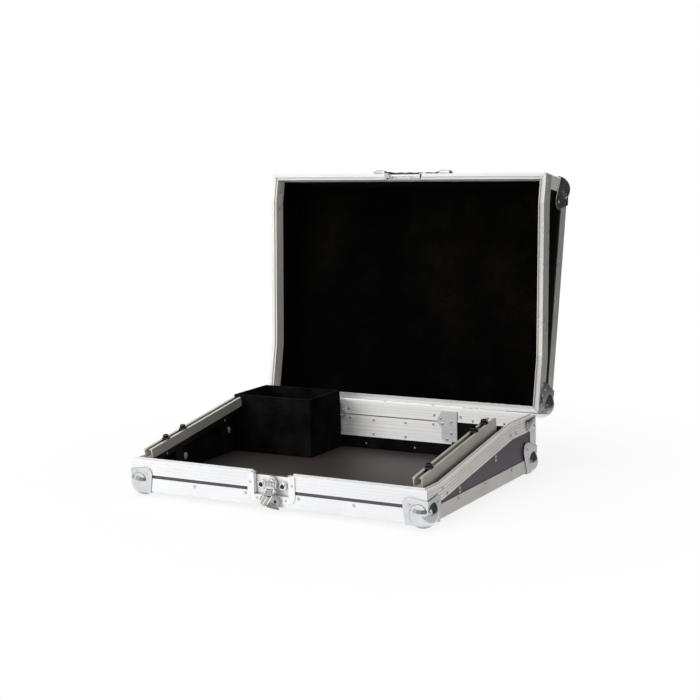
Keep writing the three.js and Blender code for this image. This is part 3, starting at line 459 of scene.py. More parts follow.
for node_name, node_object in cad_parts.items():
    node_object.data.materials.clear()
    node_object.data.materials.append(look_of(node_name))


# Mesh building. Everything is drawn in millimetres and placed by a matrix.
WELD = 1e-6
SHARP_EDGE = radians(40)


def join_rings(bm, rings, capped=False):
    """Faces from each ring of points to the next. A ring may be one point."""
    steps = max(len(ring) for ring in rings)
    for lower, upper in zip(rings, rings[1:]):
        for i in range(steps):
            j = (i + 1) % steps
            corners = []
            for ring, n in ((lower, i), (lower, j), (upper, j), (upper, i)):
                vertex = ring[n % len(ring)]
                if vertex not in corners:
                    corners.append(vertex)
            if len(corners) > 2:
                bm.faces.new(corners)
    if capped:
        bm.faces.new(rings[0][::-1])
        bm.faces.new(rings[-1])


def full_turn(steps):
    return [2 * pi * i / steps for i in range(steps)]


def add_lathe(bm, profile, place, steps=32):
    """A turned form about the local Z axis. The profile runs from the axis back to the axis."""
    rings = []
    for radius, height in profile:
        turns = full_turn(steps) if radius else [0.0]
        points = [Vector((radius * cos(turn), radius * sin(turn), height)) for turn in turns]
        rings.append([bm.verts.new(place @ point) for point in points])
    join_rings(bm, rings)


def add_plate(bm, outline, low, high, place, bevel=0.3):
    """A flat outline drawn out along local Z, with its edges rounded."""
    part = bmesh.new()
    face = part.faces.new([part.verts.new((u, v, low)) for u, v in outline])
    for raised in bmesh.ops.extrude_face_region(part, geom=[face])["geom"]:
        if isinstance(raised, bmesh.types.BMVert):
            raised.co.z = high
    bmesh.ops.recalc_face_normals(part, faces=part.faces[:])
    if bevel:
        sharp = [e for e in part.edges if e.calc_face_angle(0) > SHARP_EDGE]
        bmesh.ops.bevel(part, geom=sharp, offset=bevel, segments=2, affect="EDGES", profile=0.5)
    mesh = mesh_of("part", part)
    mesh.transform(place)
    if place.determinant() < 0:
        mesh.flip_normals()
    bm.from_mesh(mesh)
    bpy.data.meshes.remove(mesh)


def add_tube(bm, points, radii, place, steps):
    """A round bar through a list of points, with a radius at each."""
    points = [Vector(p) for p in points]
    rings = []
    for i, (point, radius) in enumerate(zip(points, radii)):
        along = (points[min(len(points) - 1, i + 1)] - points[max(0, i - 1)]).normalized()
        side = (side - along * side.dot(along) if rings else along.orthogonal()).normalized()
        other = along.cross(side)
        spokes = [cos(turn) * side + sin(turn) * other for turn in full_turn(steps)]
        rings.append([bm.verts.new(place @ (point + radius * spoke)) for spoke in spokes])
    join_rings(bm, rings, True)


def weld(bm):
    bmesh.ops.remove_doubles(bm, verts=bm.verts[:], dist=WELD)


def mesh_of(name, bm):
    """The mesh of a bmesh, which is used up."""
    mesh = bpy.data.meshes.new(name)
    bm.to_mesh(mesh)
    bm.free()
    return mesh


def make_piece(name, bm, material, body, replaced=(), smooth_angle=38.0):
    """Turns a bmesh into a piece that rides on a body."""
    bmesh.ops.recalc_face_normals(bm, faces=bm.faces[:])
    mesh = mesh_of(name, bm)
    mesh.materials.append(material)
    piece = link(name, mesh)
    mesh.shade_smooth()
    mesh.set_sharp_from_angle(angle=radians(smooth_angle))
    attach(piece, body)
    if replaced:
        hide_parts(*replaced)


def on_face(normal, spot):
    """A matrix that stands local Z along a normal at a spot."""
    turn = Vector((0, 0, 1)).rotation_difference(Vector(normal)).to_matrix().to_4x4()
    return Matrix.Translation(Vector(spot)) @ turn


# Rivets: the profile in shares of the radius and of the rise
RIVET_RADIUS, RIVET_RISE = 2.7, 1.25
RIVET_SHARES = [
    (0.0, 1.0), (0.35, 0.95), (0.66, 0.78), (0.86, 0.5), (0.97, 0.22), (1.0, 0.08), (1.0, -0.12),
    (0.0, -0.12),
]


def add_rivet(bm, place, normal, spot, size=1.0):
    profile = [(r * RIVET_RADIUS * size, h * RIVET_RISE * size) for r, h in RIVET_SHARES]
    add_lathe(bm, profile, place @ on_face(normal, spot), 20)


def rivets(name, body, spots, size=1.0):
    bm = bmesh.new()
    for x, y, z, normal in spots:
        add_rivet(bm, PLACES[body], normal, (x, y, z), size)
    make_piece(name, bm, rivet_metal, body)


def on_sides(places, out=HALF):
    """Spots on the outer faces of both side walls."""
    return [(s * out, y, z, (s, 0, 0)) for y, z in places for s in BOTH]


def on_wall(y, normal, places):
    """Spots on a face that looks to the front or to the rear."""
    return [(x, y, z, normal) for x, z in places]


def mirrored(places):
    return [(s * x, z) for x, z in places for s in BOTH]


def in_row(z, places):
    return [(x, z) for x in places]


STRIP = 17.0
INNER_REAR = DEPTH - RIM_WIDTH
STOP_FACE = INNER_REAR - FIT - 1.5
LEAF_FACE = DEPTH + 1.2
HINGE_PLACE, HINGE_SCREWS = 162.0, (-28, 0, 28)
LID_ROW = REAR_RIM + PARTING + 9
EDGE_PLACES = (-138, -46, 46, 138)

rivets("tray_front_rivets", "tray", on_wall(0, FRONTWARD, in_row(STRIP, EDGE_PLACES)))
rivets("tray_side_rivets", "tray", on_sides([
    (46.5, 43.5), (59.9, 33.1), (280.9, 72.1), (299.8, 72.3), (189, STRIP), (96, STRIP), (282, STRIP),
]))
rivets("tray_panel_rivets", "tray", on_sides([
    (104, 31), (104, 25), (228, 51), (228, 45),
], HALF - PANEL_INSET))
rivets("tray_rear_rivets", "tray", on_wall(DEPTH, REARWARD, [
    *in_row(STRIP, (-190, -130, 130, 190)), *in_row(76, (-100, -35, 35, 100)),
]))
rivets("tray_inner_rivets", "tray", [
    *on_wall(INNER_REAR, FRONTWARD, [(80.7, 75), (-80.7, 75), (128, 75), (150, 70), (205, 70)]),
    *on_wall(DEPTH - PANEL_INSET - PANEL, FRONTWARD, in_row(17, (-49, 43))),
], 0.8)
rivets("hatch_rivets", "hatch", on_wall(INNER_REAR, FRONTWARD, [
    (-33, 58), (27, 58), (-34, 34), (26, 34), (78.5, 60), (-78.5, 60),
]), 0.8)
rivets("hatch_stop_rivets", "tray", on_wall(STOP_FACE, FRONTWARD, mirrored([
    (92.6, 71), (96, 62), (112, 66), (111.5, 47), (104, 37),
])), 0.85)
rivets("hatch_leaf_rivets", "tray", on_wall(LEAF_FACE, REARWARD, in_row(16, (-84, -42, 0, 42, 84))), 0.7)
rivets("tray_hinge_rivets", "tray", [
    (s * HINGE_PLACE + x, DEPTH + 1.5, z, REARWARD) for s in BOTH for x in HINGE_SCREWS for z in (54, 67)
], 0.85)
rivets("latch_rivets", "tray", on_wall(-1.2, FRONTWARD, [(-36, 35), (36, 35), (-25, 12), (25, 12)]), 0.8)
rivets("lid_front_rivets", "lid", [
    *on_wall(RIM_WIDTH - PANEL_INSET, REARWARD, in_row(84, (-84, -42, 37, 78))),
    *on_wall(0, FRONTWARD, in_row(138, EDGE_PLACES)),
], 0.85)
rivets("lid_side_rivets", "lid", on_sides([
    (14, 61), (27, 61.5), (192, 128), (96, 128), (282, 128), (120, 74), (250, 95),
]))
rivets("lid_inner_rivets", "lid", [
    (s * (HALF - RIM_WIDTH), y, rim_level(y) + PARTING + 11, (-s, 0, 0))
    for s, places in ((-1, (29, 57)), (1, (29, 57, 280, 299, 350))) for y in places
] + on_wall(INNER_REAR, FRONTWARD, in_row(LID_ROW, (142, 163, 177, 189, 217))), 0.8)
rivets("lid_low_rivets", "lid", on_wall(INNER_REAR, FRONTWARD, in_row(LID_ROW, (-217, -168, -142))), 0.55)
rivets("lid_rear_rivets", "lid", on_wall(DEPTH, REARWARD, in_row(133, EDGE_PLACES)))
rivets("lid_hinge_rivets", "lid", [
    (s * HINGE_PLACE + x, DEPTH + 1.8, z, REARWARD) for s in BOTH for x in HINGE_SCREWS for z in (107, 121)
], 0.85)
rivets("handle_rivets", "lid", [
    (s * x, -0.7, z, FRONTWARD) for s in BOTH for x in (41, 81) for z in (80, 90)
], 0.6)


# Washers on the inside of the side walls, where the rail brackets' screws come through
WASHER = [(0, 1.6), (1.6, 1.5), (2.2, 0.9), (2.4, 0.8), (5.6, 0.7), (6.2, 0.3), (6.2, -0.1), (0, -0.1)]
WASHER_PLACES = ((126, 29), (249, 47))
SKIRT_RIVETS = ((68.9, 45.2), (229.3, 67.9))


def add_wall_washers():
    bm = bmesh.new()
    for y, z in WASHER_PLACES:
        for s in BOTH:
            add_lathe(bm, WASHER, TRAY @ on_face((-s, 0, 0), (s * INNER_WALL, y, z)))
    for y, z in SKIRT_RIVETS:
        for s in BOTH:
            add_rivet(bm, TRAY, (-s, 0, 0), (s * SKIRT_INSIDE, y, z), 0.7)
    weld(bm)
    make_piece("wall_washers", bm, zinc_plate, "tray")


add_wall_washers()


# Felt on the inner faces of the walls and the lid, just clear of the panels
FELT, FELT_GAP = 0.6, 0.1
UNDER_FLANGE = 22.6
HATCH_HALF, HATCH_SILL = 112.6, 27.8


def lining(name, body, material, outline, ends, turn, bevel=0.15):
    bm = bmesh.new()
    add_plate(bm, outline, *ends, PLACES[body] @ turn, bevel)
    make_piece(name, bm, material, body)


def add_linings():
    wall = INNER_WALL - FELT_GAP
    far = wall - FELT
    front, rear = PANEL_INSET + PANEL + FELT_GAP, DEPTH - PANEL_INSET - PANEL - FELT_GAP
    top = HEIGHT - FLOOR_TOP - FELT_GAP
    low, high = FLOOR_TOP + 0.5, top - FELT - 0.1
    bends = (front + FELT, FRONT_FLAT, DEPTH - REAR_FLAT, rear - FELT)
    tray_side = [(bends[0], low), (bends[3], low)]
    tray_side += [(y, rim_level(y) - UNDER_FLANGE) for y in reversed(bends)]
    lid_side = [(bends[3], high), (bends[0], high)]
    lid_side += [(y, rim_level(y) + PARTING + UNDER_FLANGE) for y in bends]
    for body, outline, material in (("tray", tray_side, felt_lining), ("lid", lid_side, lid_lining)):
        for side, sign in SIDES:
            ends = sorted((sign * wall, sign * far))
            lining(f"{body}_lining_{side}", body, material, outline, ends, ALONG_X)

    def sheet(foot, head, opening=()):
        return [(-far, foot), (far, foot), (far, head), *opening, (-far, head)]

    sill, head = HATCH_SILL, REAR_RIM - UNDER_FLANGE
    opening = [(HATCH_HALF, head), (HATCH_HALF, sill), (-HATCH_HALF, sill), (-HATCH_HALF, head)]
    for name, body, material, outline, y in (
        ("tray_lining_front", "tray", felt_lining, sheet(low, FRONT_RIM - UNDER_FLANGE), front),
        ("tray_lining_rear", "tray", felt_lining, sheet(low, head, opening), rear - FELT),
        ("lid_lining_front", "lid", lid_lining, sheet(FRONT_RIM + PARTING + UNDER_FLANGE, high), front),
        ("lid_lining_rear", "lid", lid_lining, sheet(REAR_RIM + PARTING + UNDER_FLANGE, high), rear - FELT),
    ):
        lining(name, body, material, outline, (y, y + FELT), ALONG_Y)
    roof = sheet(bends[0], bends[3])
    lining("lid_lining_roof", "lid", lid_felt, roof, (top - FELT, top), Matrix.Identity(4))


def add_flange_shade_sheets():
    """Thin black sheets over the inner flanges of the side rims: painted shade on the flanges."""
    inner = HALF - RIM_WIDTH
    bends = (RIM_WIDTH, FRONT_FLAT, DEPTH - REAR_FLAT, DEPTH - RIM_WIDTH)
    outline = [(y, rim_level(y) - UNDER_FLANGE) for y in bends]
    outline += [(y, rim_level(y) - 1.5) for y in reversed(bends)]
    for side, sign in SIDES:
        ends = sorted((sign * (inner - 0.05), sign * (inner - 0.25)))
        lining(f"tray_flange_shade_sheet_{side}", "tray", felt_lining, outline, ends, ALONG_X, 0.05)


add_linings()
add_flange_shade_sheets()


# Ball corners: a pressed ball over each corner of the case, with a riveted petal on each face
BALL_RADIUS = 21.9
BALL_CENTRE = 14.0
CORNER_SHEET = 1.2
CORNER_OUT = -(CORNER_SHEET + FIT)
PETAL_ARC, PETAL_STEPS = radians(130), 28
SMALL_PETAL = {"reach": 35.0, "lobe_place": 27.0, "lobe_radius": 12.0}
LARGE_PETAL = {"reach": 38.0, "lobe_place": 37.0, "lobe_radius": 13.0}
CORNER_VOXEL = 0.5
CORNER_FACE_SHARE = 0.25
CAP_REACH = 5.0
PRESSED_NEAR, PRESSED_FAR = 2.5, 7.5
ALL_STEPS, PRESSED_STEPS = 3, 45


def box_mesh(low, high):
    """A cube that runs from low to high on every axis."""
    bm = bmesh.new()
    bmesh.ops.create_cube(bm, size=1.0)
    low, high = Vector((low,) * 3), Vector((high,) * 3)
    place = Matrix.Translation((high + low) / 2) @ Matrix.Diagonal((*(high - low), 1))
    bmesh.ops.transform(bm, matrix=place, verts=bm.verts)
    return bm


def combine(base, other, operation):
    modifier = base.modifiers.new(operation, "BOOLEAN")
    modifier.operation = operation
    modifier.solver = "EXACT"
    modifier.object = other


def evaluated_mesh(obj):
    graph = bpy.context.evaluated_depsgraph_get()
    return bpy.data.meshes.new_from_object(obj.evaluated_get(graph))


def petal_points(reach, lobe_place, lobe_radius):
    """Straight off the two edges of the face, with a round lobe on the diagonal."""
    points = [(CORNER_OUT, CORNER_OUT), (reach, CORNER_OUT), (reach, 0)]
    for i in range(PETAL_STEPS + 1):
        turn = pi / 4 + (i / PETAL_STEPS - 0.5) * PETAL_ARC
        points.append((lobe_place + lobe_radius * cos(turn), lobe_place + lobe_radius * sin(turn)))
    return points + [(0, reach), (CORNER_OUT, reach)]


def pressed_share(point):
    """1 where the ball is pressed out of a petal, 0 well away from there."""
    ring = sqrt(BALL_RADIUS ** 2 - (BALL_CENTRE - CORNER_OUT) ** 2)
    nearest = PRESSED_FAR
    for k in range(3):
        across = hypot(point[(k + 1) % 3] - BALL_CENTRE, point[(k + 2) % 3] - BALL_CENTRE) - ring
        nearest = min(nearest, hypot(across, point[k] - CORNER_OUT))
    return min(1.0, (PRESSED_FAR - nearest) / (PRESSED_FAR - PRESSED_NEAR))


def ball_corner_mesh(petal):
    """One corner in millimetres, drawn at the corner of a box that fills x, y and z above zero."""
    helpers = []

    def keep(name, mesh):
        helpers.append(link(name, mesh))
        return helpers[-1]

    def helper(name, bm):
        bmesh.ops.recalc_face_normals(bm, faces=bm.faces[:])
        return keep(name, mesh_of(name, bm))

    def sphere(name, radius):
        bm = bmesh.new()
        bmesh.ops.create_uvsphere(bm, u_segments=96, v_segments=64, radius=radius)
        bmesh.ops.translate(bm, verts=bm.verts, vec=(BALL_CENTRE,) * 3)
        return helper(name, bm)

    ball = sphere("ball", BALL_RADIUS)
    for basis in (Matrix.Identity(4), ALONG_X, ALONG_X @ ALONG_X):
        plate = bmesh.new()
        add_plate(plate, petal_points(**petal), CORNER_OUT, -FIT, basis, bevel=0.0)
        combine(ball, helper("petal", plate), "UNION")
    around = helper("around", box_mesh(-2 * BALL_RADIUS, BALL_CENTRE))
    combine(around, sphere("core", BALL_RADIUS + 0.02), "DIFFERENCE")
    combine(ball, around, "DIFFERENCE")
    # the hollow for the case, less the cap that closes the ball over the blunted corner
    cap = helper("cap", box_mesh(-2 * BALL_RADIUS, CAP_REACH))
    combine(cap, sphere("hollow", BALL_RADIUS - CORNER_SHEET), "DIFFERENCE")
    inside = helper("inside", box_mesh(-FIT, petal["lobe_place"] + 2 * petal["lobe_radius"]))
    combine(inside, cap, "DIFFERENCE")
    combine(ball, inside, "DIFFERENCE")
    merged = keep("merged", evaluated_mesh(ball))
    remesh = merged.modifiers.new("remesh", "REMESH")
    remesh.mode = "VOXEL"
    remesh.voxel_size = CORNER_VOXEL
    pressed = keep("pressed", evaluated_mesh(merged))
    group = pressed.vertex_groups.new(name="pressed")
    for vertex in pressed.data.vertices:
        share = pressed_share(vertex.co)
        if share > 0:
            group.add([vertex.index], share, "REPLACE")
    for name, steps, group_name in (("all", ALL_STEPS, ""), ("pressed", PRESSED_STEPS, "pressed")):
        smooth = pressed.modifiers.new(name, "SMOOTH")
        smooth.factor = 0.5
        smooth.iterations = steps
        smooth.vertex_group = group_name
    pressed.modifiers.new("decimate", "DECIMATE").ratio = CORNER_FACE_SHARE
    final = evaluated_mesh(pressed)
    for made in helpers:
        bpy.data.objects.remove(made)
    return final


small_corner = ball_corner_mesh(SMALL_PETAL)
large_corner = ball_corner_mesh(LARGE_PETAL)
CORNERS = (
    ("front_left", -1, 0.0), ("front_right", 1, 0.0), ("rear_right", 1, DEPTH), ("rear_left", -1, DEPTH),
)


def add_ball_corners(prefix, body, level, upside_down):
    for turns, (name, side, y) in enumerate(CORNERS):
        spot = Matrix.Translation((side * HALF, y, level))
        place = PLACES[body] @ spot @ Matrix.Rotation(turns * pi / 2, 4, "Z")
        if upside_down:
            place = place @ Matrix.Rotation(pi / 2, 4, "Y")
        small = prefix == "base" and y == 0
        bm = bmesh.new()
        bm.from_mesh(small_corner if small else large_corner)
        bmesh.ops.transform(bm, matrix=place, verts=bm.verts)
        node = f"{prefix}_ball_corner_{name}"
        make_piece(f"{node}_pressed", bm, chrome_plate, body, replaced=[node], smooth_angle=60.0)
        bm = bmesh.new()
        lobe = (SMALL_PETAL if small else LARGE_PETAL)["lobe_place"]
        for k in range(3):
            spot = [lobe + 1.0] * 3
            spot[k] = CORNER_OUT
            normal = [0, 0, 0]
            normal[k] = -1
            add_rivet(bm, place, normal, spot, 0.95)
        make_piece(f"{node}_rivets", bm, rivet_metal, body)


add_ball_corners("base", "tray", 0.0, False)
add_ball_corners("lid", "lid", HEIGHT, True)


# Corner braces: a bent plate round each rear corner of the tray's rim, and a plate on each side of the lid
BRACE_SHEET, BRACE_GAP, BRACE_ROUND = 1.2, 0.02, 0.35
BRACE_SIDE = [(335, 85), (376, 85), (376, 66), (352, 64), (338, 72)]
BRACE_LID_SIDE = [(343, 92), (372, 92), (374, 97), (374, 108), (370, 111.5), (352, 111.5), (344, 106)]
BRACE_REAR = [(225, 85), (254, 85), (254, 64), (230, 64), (225, 70)]


def add_braces():
    for side, sign in SIDES:
        ends = sorted((sign * (HALF + BRACE_GAP), sign * (HALF + BRACE_SHEET)))
        bm = bmesh.new()
        add_plate(bm, BRACE_SIDE, *ends, TRAY @ ALONG_X, BRACE_ROUND)
        rear = [(sign * x, z) for x, z in BRACE_REAR]
        add_plate(bm, rear, DEPTH + BRACE_GAP, DEPTH + BRACE_SHEET, TRAY @ ALONG_Y, BRACE_ROUND)
        make_piece(f"tray_brace_{side}", bm, chrome_plate, "tray")
        bm = bmesh.new()
        add_plate(bm, BRACE_LID_SIDE, *ends, LID @ ALONG_X, BRACE_ROUND)
        make_piece(f"lid_brace_{side}", bm, chrome_plate, "lid")
    out = HALF + BRACE_SHEET
    sides = on_sides([(343, 79.5), (350, 71), (364, 79), (370, 71)], out)
    rear = on_wall(DEPTH + BRACE_SHEET, REARWARD, mirrored([(232, 79), (246, 71)]))
    rivets("tray_brace_rivets", "tray", sides + rear, 0.8)
    rivets("lid_brace_rivets", "lid", on_sides([(349, 98), (355, 105), (365, 97), (369, 105)], out))


add_braces()


# Carrying handle: pressed brackets, and one rubber bail whose arms slant up to the grip
HANDLE_Z = 85.0
HANDLE_SURFACE = PANEL_INSET - FIT
HANDLE_SPACING = 122.0
HANDLE_AXIS_Y = HANDLE_SURFACE - 7.4
GRIP_Z, GRIP_RADIUS = HANDLE_Z + 25.0, 6.3
GRIP_HALF, GRIP_STEP = 38, 2
GRIP_WAVE, GRIP_PITCH = 0.45, 18
ARM_X, KNEE, BEND, TURN_STEPS = 44.7, 5.0, 3.4, 6
BRACKET_PLATE = (54.0, 21.0, 1.8)
HOUSING = [
    (0.0, 12.3, 9.2), (1.8, 12.0, 9.0), (7.0, 11.7, 8.7), (9.6, 10.7, 7.4), (11.6, 8.9, 5.4),
    (12.6, 6.4, 3.0),
]


def rounded_outline(half_x, half_z, power=5.0, steps=40):
    """A rectangle with soft corners, as points round it."""
    points = []
    for turn in full_turn(steps):
        across, up = cos(turn), sin(turn)
        points.append((
            half_x * copysign(abs(across) ** (2 / power), across),
            half_z * copysign(abs(up) ** (2 / power), up),
        ))
    return points


def add_stack(bm, sections, place):
    """A closed form through soft rectangles of (height, half width, half depth)."""
    rings = []
    for height, half_x, half_z in sections:
        points = [Vector((u, v, height)) for u, v in rounded_outline(half_x, half_z)]
        rings.append([bm.verts.new(place @ point) for point in points])
    join_rings(bm, rings, True)


def add_handle():
    for side, sign in SIDES:
        spot = (sign * HANDLE_SPACING / 2, HANDLE_SURFACE, HANDLE_Z)
        place = LID @ Matrix.Translation(spot) @ OUT_OF_FRONT
        bm = bmesh.new()
        width, height, sheet = BRACKET_PLATE
        add_plate(bm, rounded_outline(width / 2, height / 2, 8.0, 64), 0.0, sheet, place)
        add_stack(bm, HOUSING, place)
        node = f"handle_bracket_{side}"
        make_piece(f"{node}_pressed", bm, zinc_painted_shade, "lid", replaced=[node])
    # half of the bail as (x, z, radius), from the middle of the grip to the end of its pin
    half = []
    for x in range(0, GRIP_HALF, GRIP_STEP):
        half.append((x, GRIP_Z, GRIP_RADIUS - GRIP_WAVE + GRIP_WAVE * cos(2 * pi * x / GRIP_PITCH)))
    half.append((GRIP_HALF + 0.5, GRIP_Z, 6.0))
    turns = [pi / 2 * i / TURN_STEPS for i in range(TURN_STEPS + 1)]
    for i, turn in enumerate(turns):
        half.append((ARM_X - KNEE + KNEE * sin(turn), GRIP_Z - KNEE + KNEE * cos(turn), 5.9 - 0.2 * i))
    half += [(ARM_X, GRIP_Z - 10, 4.2), (ARM_X, GRIP_Z - 15, 3.7)]
    for i, turn in enumerate(turns):
        x, z = ARM_X + BEND - BEND * cos(turn), HANDLE_Z + BEND - BEND * sin(turn)
        half.append((x, z, 3.3 - 0.08 * i))
    half += [(50, HANDLE_Z, 2.8), (63.5, HANDLE_Z, 2.8)]
    run = [(-x, z, r) for x, z, r in reversed(half[1:])] + half
    bm = bmesh.new()
    add_tube(bm, [(x, HANDLE_AXIS_Y, z) for x, z, _ in run], [r for _, _, r in run], LID, 28)
    make_piece("handle_bail", bm, grip_rubber, "handle", ["handle_grip"], 50.0)


add_handle()


# Latch: bosses beside the drum, the drum's ribbed face and ears, and the wing that hangs from its pin.
# Turned forms are lists of (radius, height), and plates are outlines.
BOSS_X, BOSS_Z, BOSS_FACE = 18.5, 32.0, 1.0
BOSS_RING = [
    (3.3, -0.4), (3.4, 0.9), (3.9, 1.4), (4.6, 1.3), (5.0, 0.7), (5.6, 0.5), (6.3, 0.3), (6.6, -0.1),
    (6.6, -0.6), (5.2, -0.6), (3.3, -0.4),
]
BOSS_CORE = [(0, 0.5), (1.2, 0.5), (1.5, 0.1), (2.4, 0.1), (2.9, 0.45), (3.2, 0.3), (3.2, -1.2), (0, -1.2)]
DRUM_Z, DRUM_FACE, DRUM_DEPTH = 34.0, -2.6, 9.3
DRUM_BODY = [
    (0, 0.0), (3.0, 0.0), (3.3, -0.5), (5.9, -0.5), (6.3, 0.0), (7.4, 0.0), (8.0, -0.6), (8.0, -DRUM_DEPTH),
    (0, -DRUM_DEPTH),
]
BARREL_HALF, BARREL_RIBS, BARREL_FLATNESS, GROOVE_HALF = 10.4, 8, 0.18, 0.5
RIB_SHARES = ((4.6, 0.1), (5.2, 0.3), (5.2, 0.7), (4.6, 0.9))
STRAP = [(-7.8, -12.6), (7.8, -12.6), (7.8, -3.2), (5.6, -1.6), (-5.6, -1.6), (-7.8, -3.2)]
CAM = [(-4.5, 0), (-4.5, 10.6), (-2.4, 12.0), (2.4, 12.0), (4.5, 10.6), (4.5, 0)]
PIN_HALF, PIN_RADIUS = 11.0, 1.2
WING_Y, WING_Z, WING_FACE = -6.0, 25.0, 0.7
EAR_SPAN = (5.9, 7.8)
EAR = [(WING_Y - 1.2, 21.6), (DRUM_FACE, 21.4), (DRUM_FACE, 28.6), (WING_Y + 0.6, 27.4), (WING_Y - 1.2, 26.2)]
LOBE_OFFSET, LOBE_DROP, LOBE_ROUND = 8.5, 14.5, 8.5
LOBE_ARC, LOBE_FOOT, LOBE_STEPS = radians(112), radians(84), 22
NECK = [(-5.4, 0.0), (5.4, 0.0), (5.4, -9.0), (-5.4, -9.0)]
KNOB = [(0, 0.45), (1.4, 0.42), (2.2, 0.3), (2.6, 0.1), (2.6, -0.4), (0, -0.4)]
KNOB_OFFSET = LOBE_OFFSET + 1.5
BLADE_LEAN, BLADE_HALF = radians(-33.9), 0.85
BLADES = [
    (8.0, -18.3, -2.0), (4.7, -21.0, -7.5), (1.9, -24.0, -8.5), (-0.9, -24.5, -9.5), (-3.7, -23.0, -11.0),
]
WING_FOOT = [
    (-7.0, -20.4), (-1.0, -17.2), (4.0, -16.4), (10.5, -18.6), (16.6, -26.2), (8.0, -25.8), (-4.0, -24.2),
]
KNUCKLE_HALF = 5.5
KNUCKLE = [(1.5, 0.0), (2.2, 0.0), (2.4, 0.2), (2.4, 10.8), (2.2, 11.0), (1.5, 11.0), (1.5, 0.0)]
QUARTER_Y = Matrix.Rotation(pi / 2, 4, "Y")


def add_bosses():
    rings, cores = bmesh.new(), bmesh.new()
    for sign in BOTH:
        place = TRAY @ Matrix.Translation((sign * BOSS_X, BOSS_FACE, BOSS_Z)) @ OUT_OF_FRONT
        add_lathe(rings, BOSS_RING, place, 40)
        # painted shade: a black core fills each boss's hole
        add_lathe(cores, BOSS_CORE, place)
    weld(rings)
    weld(cores)
    make_piece("latch_boss_rings", rings, drum_plate, "tray")
    make_piece("latch_boss_hole_shade", cores, black_steel, "tray")


def add_drum():
    bm = bmesh.new()
    place = TRAY @ Matrix.Translation((0, DRUM_FACE, DRUM_Z)) @ OUT_OF_FRONT
    add_lathe(bm, DRUM_BODY, place, 48)
    # a ribbed half barrel across the face, with black rings in the grooves between the ribs as painted shade
    barrel = [(0, -BARREL_HALF)]
    step = 2 * BARREL_HALF / BARREL_RIBS
    for i in range(BARREL_RIBS):
        low = -BARREL_HALF + 2 * BARREL_HALF * i / BARREL_RIBS
        barrel += [(radius, low + share * step) for radius, share in RIB_SHARES]
    barrel.append((0, BARREL_HALF))
    flat = Matrix.Translation((0, DRUM_FACE - 0.2, DRUM_Z)) @ Matrix.Diagonal((1, BARREL_FLATNESS, 1, 1))
    across = TRAY @ flat @ QUARTER_Y
    add_lathe(bm, barrel, across)
    grooves = bmesh.new()
    for i in range(1, BARREL_RIBS):
        middle = BARREL_HALF * (2 * i / BARREL_RIBS - 1)
        near, far = middle - GROOVE_HALF, middle + GROOVE_HALF
        add_lathe(grooves, [(4.3, near), (4.9, near), (4.9, far), (4.3, far), (4.3, near)], across)
    weld(grooves)
    make_piece("latch_drum_groove_shade", grooves, black_steel, "latch_drum")
    # the strap with its two ears and the pin, and the cam behind
    add_plate(bm, STRAP, -0.6, 1.6, place, 0.35)
    for sign in BOTH:
        add_plate(bm, EAR, *sorted(sign * x for x in EAR_SPAN), TRAY @ ALONG_X)
    add_tube(bm, [(x, WING_Y, WING_Z) for x in (-PIN_HALF, PIN_HALF)], [PIN_RADIUS] * 2, TRAY, 20)
    add_plate(bm, CAM, -6.6, -3.6, place, 0.4)
    make_piece("latch_drum_ribbed", bm, drum_plate, "latch_drum", replaced=["latch_drum"])


def wing_outline():
    """Two round lobes, drawn from the top of the right one round to the top of the left one."""
    points = []
    for sign in (1, -1):
        for i in range(LOBE_STEPS + 1):
            share = i / LOBE_STEPS if sign > 0 else 1 - i / LOBE_STEPS
            turn = LOBE_ARC - (LOBE_ARC + LOBE_FOOT) * share
            x, z = LOBE_OFFSET + LOBE_ROUND * cos(turn), -LOBE_DROP + LOBE_ROUND * sin(turn)
            points.append((sign * max(x, 0.35), z))
    return points


def add_wing():
    bm = bmesh.new()
    place = TRAY @ Matrix.Translation((0, WING_Y, WING_Z)) @ OUT_OF_FRONT
    add_plate(bm, NECK, -WING_FACE, WING_FACE, place, 0.25)
    add_plate(bm, wing_outline(), -WING_FACE, WING_FACE, place)
    # a raised bead round each lobe, and a button in the right one
    bead = []
    for turn in full_turn(16)[:9]:
        bead.append((LOBE_ROUND - 1.3 + 0.8 * cos(turn), -0.1 + 0.45 * sin(turn)))
    bead += [(LOBE_ROUND - 2.1, -0.5), (LOBE_ROUND - 0.5, -0.5), bead[0]]
    for sign in BOTH:
        add_lathe(bm, bead, place @ Matrix.Translation((sign * LOBE_OFFSET, -LOBE_DROP, WING_FACE)), 44)
    knob = bmesh.new()
    add_lathe(knob, KNOB, place @ Matrix.Translation((KNOB_OFFSET, -LOBE_DROP, WING_FACE)))
    make_piece("latch_wing_knob", knob, black_steel, "latch_wing")
    # the bright slanted blade, with bright and brass slats beside it
    lean = place @ Matrix.Rotation(BLADE_LEAN, 4, "Z")
    bright, brass = bmesh.new(), bmesh.new()
    for n, (x, low, high) in enumerate(BLADES):
        left, right = x - BLADE_HALF, x + BLADE_HALF
        blade = [(left, low), (right, low), (right, high), (left, high)]
        add_plate(brass if n % 2 else bright, blade, 0.1, 1.2 if n else 1.4, lean, 0.25)
    make_piece("latch_wing_blades", bright, zinc_plate, "latch_wing")
    make_piece("latch_wing_slats", brass, slat_brass, "latch_wing")
    # painted shade: a dark plate over the foot of the lobes, for the shade at the bottom of the wing
    foot = bmesh.new()
    add_plate(foot, WING_FOOT, -0.6, 1.0, place)
    make_piece("latch_wing_foot", foot, wing_painted_shade, "latch_wing")
    # the knuckle round the pin
    add_lathe(bm, KNUCKLE, TRAY @ Matrix.Translation((-KNUCKLE_HALF, WING_Y, WING_Z)) @ QUARTER_Y)
    weld(bm)
    make_piece("latch_wing_lobes", bm, zinc_painted_shade, "latch_wing", replaced=["latch_wing"])


